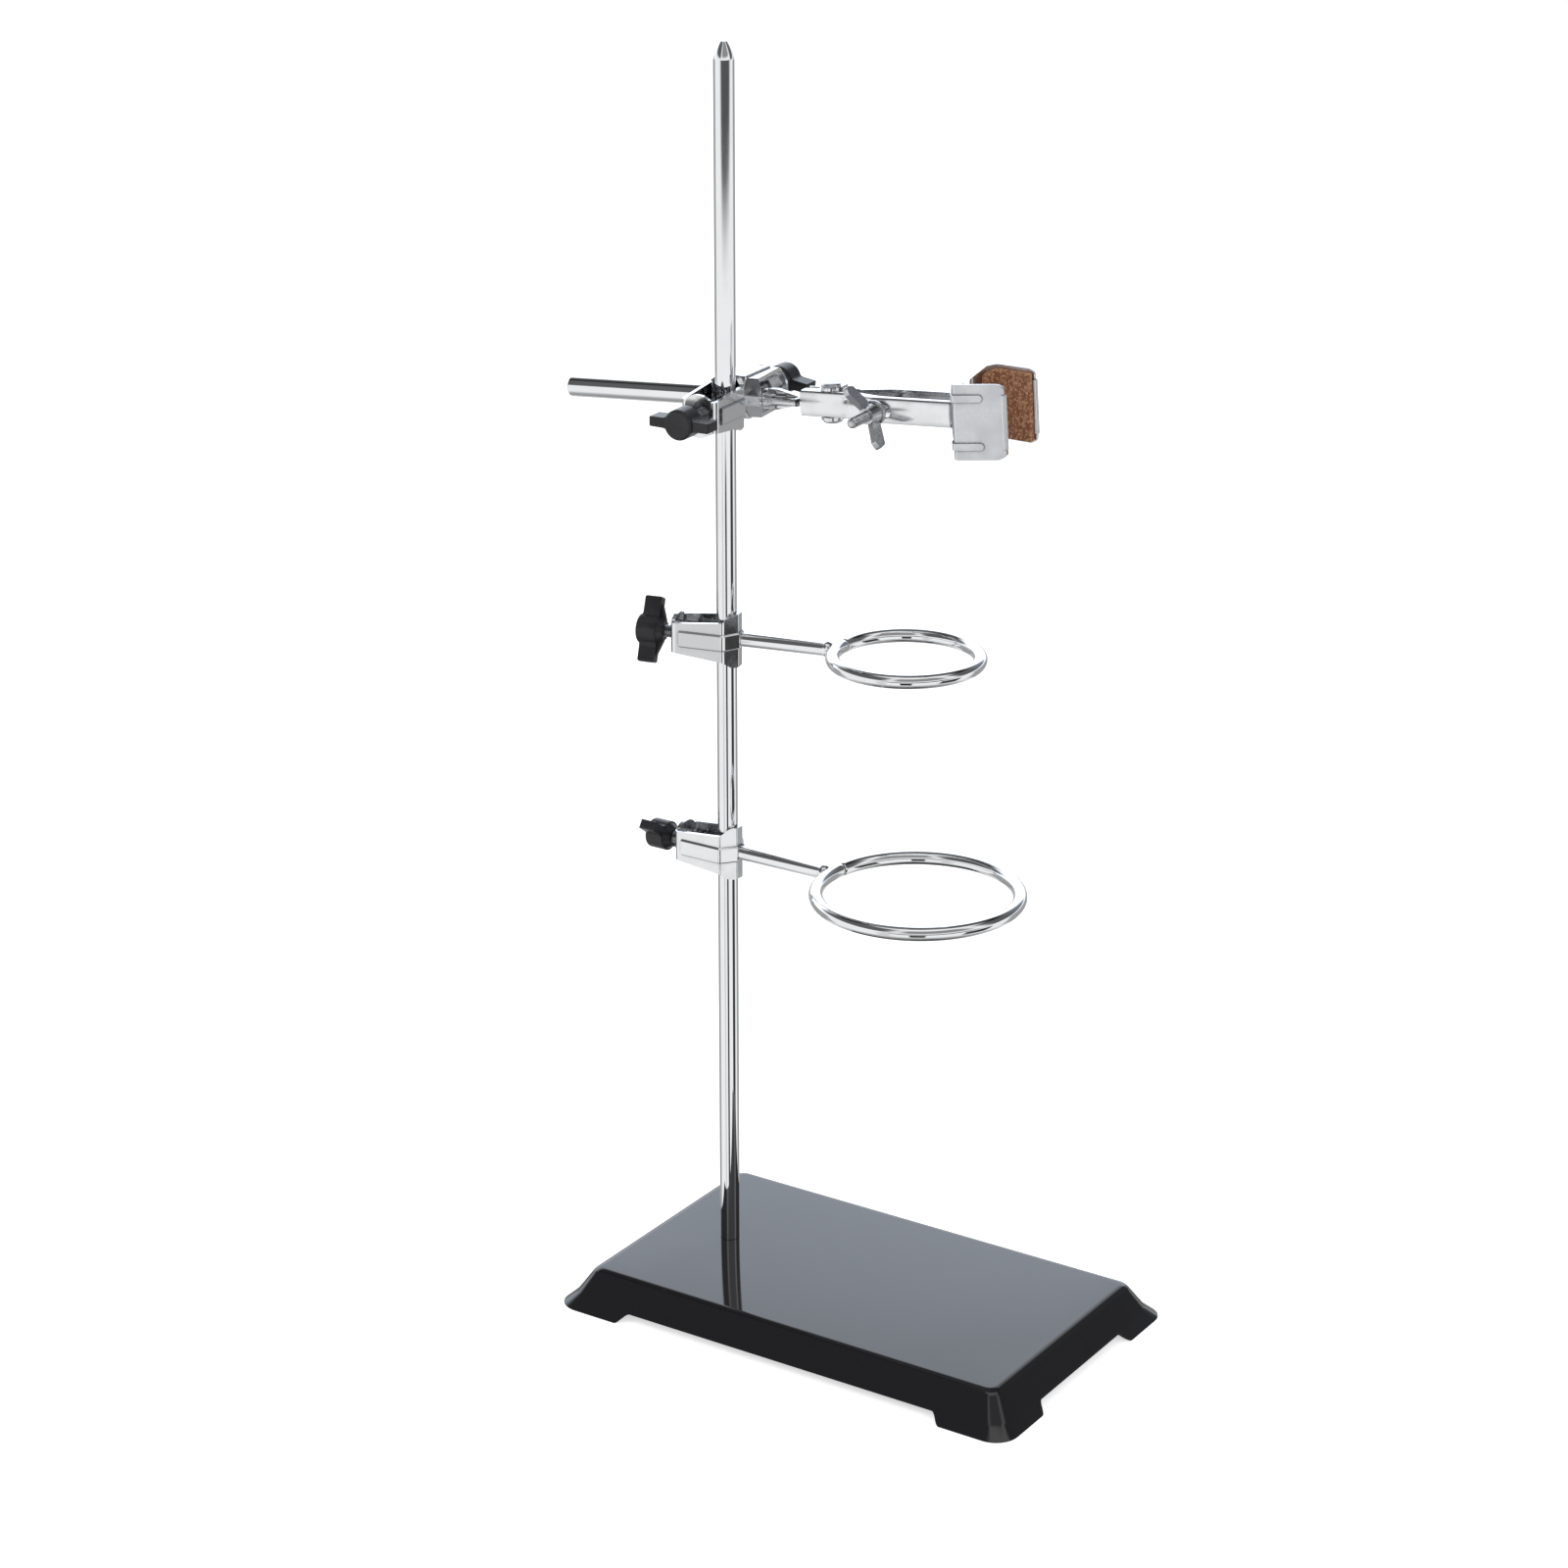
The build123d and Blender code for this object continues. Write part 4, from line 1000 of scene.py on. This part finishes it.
CAMERA_AZIMUTH = 33.15
CAMERA_ELEVATION = 20.26
CAMERA_DISTANCE = 1.5
CAMERA_LENS = 88.6
CAMERA_SENSOR = 36.0
CAMERA_TARGET = Vector((-36.56 * MM, 0.0, 217.94 * MM))
FLOOR_HALF_SIDE = 3.0
FLOOR_COLOUR = (0.82, 0.82, 0.83, 1.0)
FLOOR_GLOW = 0.6
LAMP_TARGET = Vector((0, 0, 0.2))

# Dark screens of the studio that only glossy surfaces show. Each has its middle in degrees to the
# right of the camera, half its width, the softness of its sides, its lowest and highest sine of
# elevation, the softness of these, and how much light it leaves
STUDIO_SCREENS = (
    (-2.0, 8.5, 3.0, -0.62, -0.12, 0.06, 0.03),
    (64.5, 16.0, 6.0, -0.62, -0.12, 0.06, 0.05),
    (-38.0, 7.0, 10.0, -0.62, -0.12, 0.10, 0.72),
    (128.0, 22.0, 16.0, -0.62, 0.0, 0.10, 0.38),
    (-128.0, 22.0, 16.0, -0.62, 0.0, 0.10, 0.38),
    (180.0, 34.0, 20.0, -0.62, 0.0, 0.10, 0.50),
    (15.0, 50.0, 40.0, -0.02, 0.16, 0.08, 0.10),
    (-80.0, 48.0, 30.0, 0.30, 0.92, 0.16, 0.12),
    (112.0, 36.0, 26.0, 0.12, 0.80, 0.16, 0.12),
    (180.0, 75.0, 40.0, 0.68, 1.10, 0.16, 0.10),
    (20.0, 40.0, 24.0, 0.36, 0.88, 0.16, 0.30),
)

# Light for surfaces that aren't glossy, and from the ground, which darkens between two sines
PLAIN_LIGHT = 0.75
GROUND_LIGHT = 0.30
GROUND_SINES = (-0.95, -0.55)

# A cool glow low behind the stand, in the same measures as the screens
BACK_GLOW = (180.0, 60.0, 40.0, 0.10, 0.57, 0.28, 0.0)
BACK_GLOW_COLOUR = (1.72, 1.88, 2.12)


def camera_direction():
    """From the camera's target to the camera."""
    turn, rise = math.radians(CAMERA_AZIMUTH), math.radians(CAMERA_ELEVATION)
    return Vector((math.cos(rise) * math.sin(turn), -math.cos(rise) * math.cos(turn), math.sin(rise)))


def make_camera():
    """The camera that was fitted to the photograph."""
    camera = bpy.data.cameras.new("Camera")
    camera.lens = CAMERA_LENS
    camera.sensor_width = CAMERA_SENSOR
    place = bpy.data.objects.new("Camera", camera)
    bpy.context.scene.collection.objects.link(place)
    away = camera_direction()
    place.location = CAMERA_TARGET + away * CAMERA_DISTANCE
    place.rotation_euler = away.to_track_quat("Z", "Y").to_euler()
    bpy.context.scene.camera = place


def make_floor():
    """A white floor that keeps a faint shadow of the stand."""
    shape = bmesh.new()
    bmesh.ops.create_grid(shape, x_segments=1, y_segments=1, size=FLOOR_HALF_SIDE)
    mesh = bpy.data.meshes.new("floor")
    shape.to_mesh(mesh)
    shape.free()
    floor = bpy.data.objects.new("floor", mesh)
    bpy.context.scene.collection.objects.link(floor)
    material, tree, shader = new_material("White floor")
    shader.inputs["Base Color"].default_value = FLOOR_COLOUR
    shader.inputs["Roughness"].default_value = 0.9
    shader.inputs["Specular IOR Level"].default_value = 0.0
    rays = add_node(tree, "ShaderNodeLightPath")
    seen = add_math(tree, "MAXIMUM", rays.outputs["Is Camera Ray"], rays.outputs["Is Glossy Ray"])
    seen = add_math(tree, "MAXIMUM", seen, rays.outputs["Is Transmission Ray"])
    strength = add_math(tree, "MULTIPLY", seen, FLOOR_GLOW)
    glow = add_node(tree, "ShaderNodeEmission", {"Color": (1, 1, 1, 1), "Strength": strength})
    both = add_node(tree, "ShaderNodeAddShader", {0: shader.outputs[0], 1: glow.outputs[0]})
    tree.links.new(both.outputs[0], tree.nodes["Material Output"].inputs["Surface"])
    mesh.materials.append(material)
    floor.visible_glossy = False


def screen_light(tree, angle, height, screen):
    """How much light a screen leaves in a direction."""
    centre, half, side_soft, low, high, edge_soft, level = screen
    world_turn = math.radians(CAMERA_AZIMUTH - 90 + centre)
    offset = add_math(tree, "SUBTRACT", angle, world_turn)
    turned = add_node(tree, "ShaderNodeMath", {0: offset, 1: math.pi, 2: -math.pi}, operation="WRAP")
    away = add_math(tree, "ABSOLUTE", turned.outputs[0])
    inner, outer = math.radians(half - side_soft / 2), math.radians(half + side_soft / 2)
    across = add_range(tree, away, inner, outer, 1.0, 0.0)
    above = add_range(tree, height, low - edge_soft / 2, low + edge_soft / 2)
    below = add_range(tree, height, high - edge_soft / 2, high + edge_soft / 2, 1.0, 0.0)
    cover = add_math(tree, "MULTIPLY", across, add_math(tree, "MULTIPLY", above, below))
    return add_range(tree, cover, 0.0, 1.0, 1.0, level)


def make_world():
    """White for the camera, plain light for the surfaces and a studio for polished metal."""
    world = bpy.data.worlds.new("Studio")
    world.use_nodes = True
    bpy.context.scene.world = world
    tree = world.node_tree
    backdrop = tree.nodes["Background"]
    direction = add_node(tree, "ShaderNodeTexCoord").outputs["Generated"]
    parts = add_node(tree, "ShaderNodeSeparateXYZ", {0: direction})
    angle = add_math(tree, "ARCTAN2", parts.outputs["Y"], parts.outputs["X"])
    height = parts.outputs["Z"]
    polished = add_range(tree, height, *GROUND_SINES, GROUND_LIGHT, 1.0)
    for screen in STUDIO_SCREENS:
        polished = add_math(tree, "MULTIPLY", polished, screen_light(tree, angle, height, screen))
    behind = add_math(tree, "SUBTRACT", 1.0, screen_light(tree, angle, height, BACK_GLOW))
    rays = add_node(tree, "ShaderNodeLightPath")
    glow = add_math(tree, "MULTIPLY", behind, rays.outputs["Is Glossy Ray"])
    white = add_math(tree, "MAXIMUM", rays.outputs["Is Camera Ray"], rays.outputs["Is Transmission Ray"])
    lit = add_node(tree, "ShaderNodeMix", {0: rays.outputs["Is Glossy Ray"], 2: PLAIN_LIGHT, 3: polished})
    seen = add_node(tree, "ShaderNodeMix", {0: white, 2: lit.outputs[0], 3: 1.0}).outputs[0]
    tree.links.new(add_mix(tree, glow, (1.0, 1.0, 1.0), BACK_GLOW_COLOUR), backdrop.inputs["Color"])
    tree.links.new(seen, backdrop.inputs["Strength"])


def add_lamp(name, place, power, width, height):
    """A soft rectangular lamp that faces the stand."""
    lamp = bpy.data.lights.new(name, "AREA")
    lamp.shape = "RECTANGLE"
    lamp.size = width
    lamp.size_y = height
    lamp.energy = power
    stand = bpy.data.objects.new(name, lamp)
    stand.location = place
    stand.rotation_euler = (Vector(place) - LAMP_TARGET).to_track_quat("Z", "Y").to_euler()
    stand.visible_glossy = False
    bpy.context.scene.collection.objects.link(stand)


def make_lamps():
    """Three soft lamps that polished surfaces don't show."""
    add_lamp("Key lamp", (-0.9, -1.3, 1.5), power=9.0, width=0.9, height=0.9)
    add_lamp("Fill lamp", (1.5, -0.5, 0.9), power=4.0, width=0.8, height=1.2)
    add_lamp("Back lamp", (-0.3, 1.4, 1.2), power=4.0, width=1.2, height=0.6)


class RETORT_PT_panel(Panel):
    """The retort stand's pieces, sizes and finishes"""

    bl_idname = "RETORT_PT_panel"
    bl_label = "Retort stand"
    bl_space_type = "VIEW_3D"
    bl_region_type = "UI"
    bl_category = "Retort stand"

    def draw(self, context):
        layout = self.layout
        for group in (context.scene.retort_sizes, context.scene.retort_finishes):
            for name in group.__annotations__:
                layout.prop(group, name)
        for operator in OPERATORS:
            layout.operator(operator.bl_idname)


OPERATORS = (
    RETORT_OT_base,
    RETORT_OT_rods,
    RETORT_OT_straps,
    RETORT_OT_rings,
    RETORT_OT_thumbscrews,
    RETORT_OT_gripper,
    RETORT_OT_stage,
)
CLASSES = (RetortSizes, RetortFinishes, *OPERATORS, RETORT_PT_panel)


def register():
    """Make the classes known and keep the properties with the scene."""
    for item in CLASSES:
        bpy.utils.register_class(item)
    bpy.types.Scene.retort_sizes = PointerProperty(type=RetortSizes)
    bpy.types.Scene.retort_finishes = PointerProperty(type=RetortFinishes)


def unregister():
    """Take the properties and the classes away again."""
    del bpy.types.Scene.retort_finishes
    del bpy.types.Scene.retort_sizes
    for item in reversed(CLASSES):
        bpy.utils.unregister_class(item)


def main():
    """Register the add-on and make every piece."""
    register()
    make_finishes()
    bpy.ops.retort.base()
    bpy.ops.retort.rods()
    bpy.ops.retort.straps()
    bpy.ops.retort.rings()
    bpy.ops.retort.thumbscrews()
    bpy.ops.retort.gripper()
    bpy.ops.retort.stage()


if __name__ == "__main__":
    main()
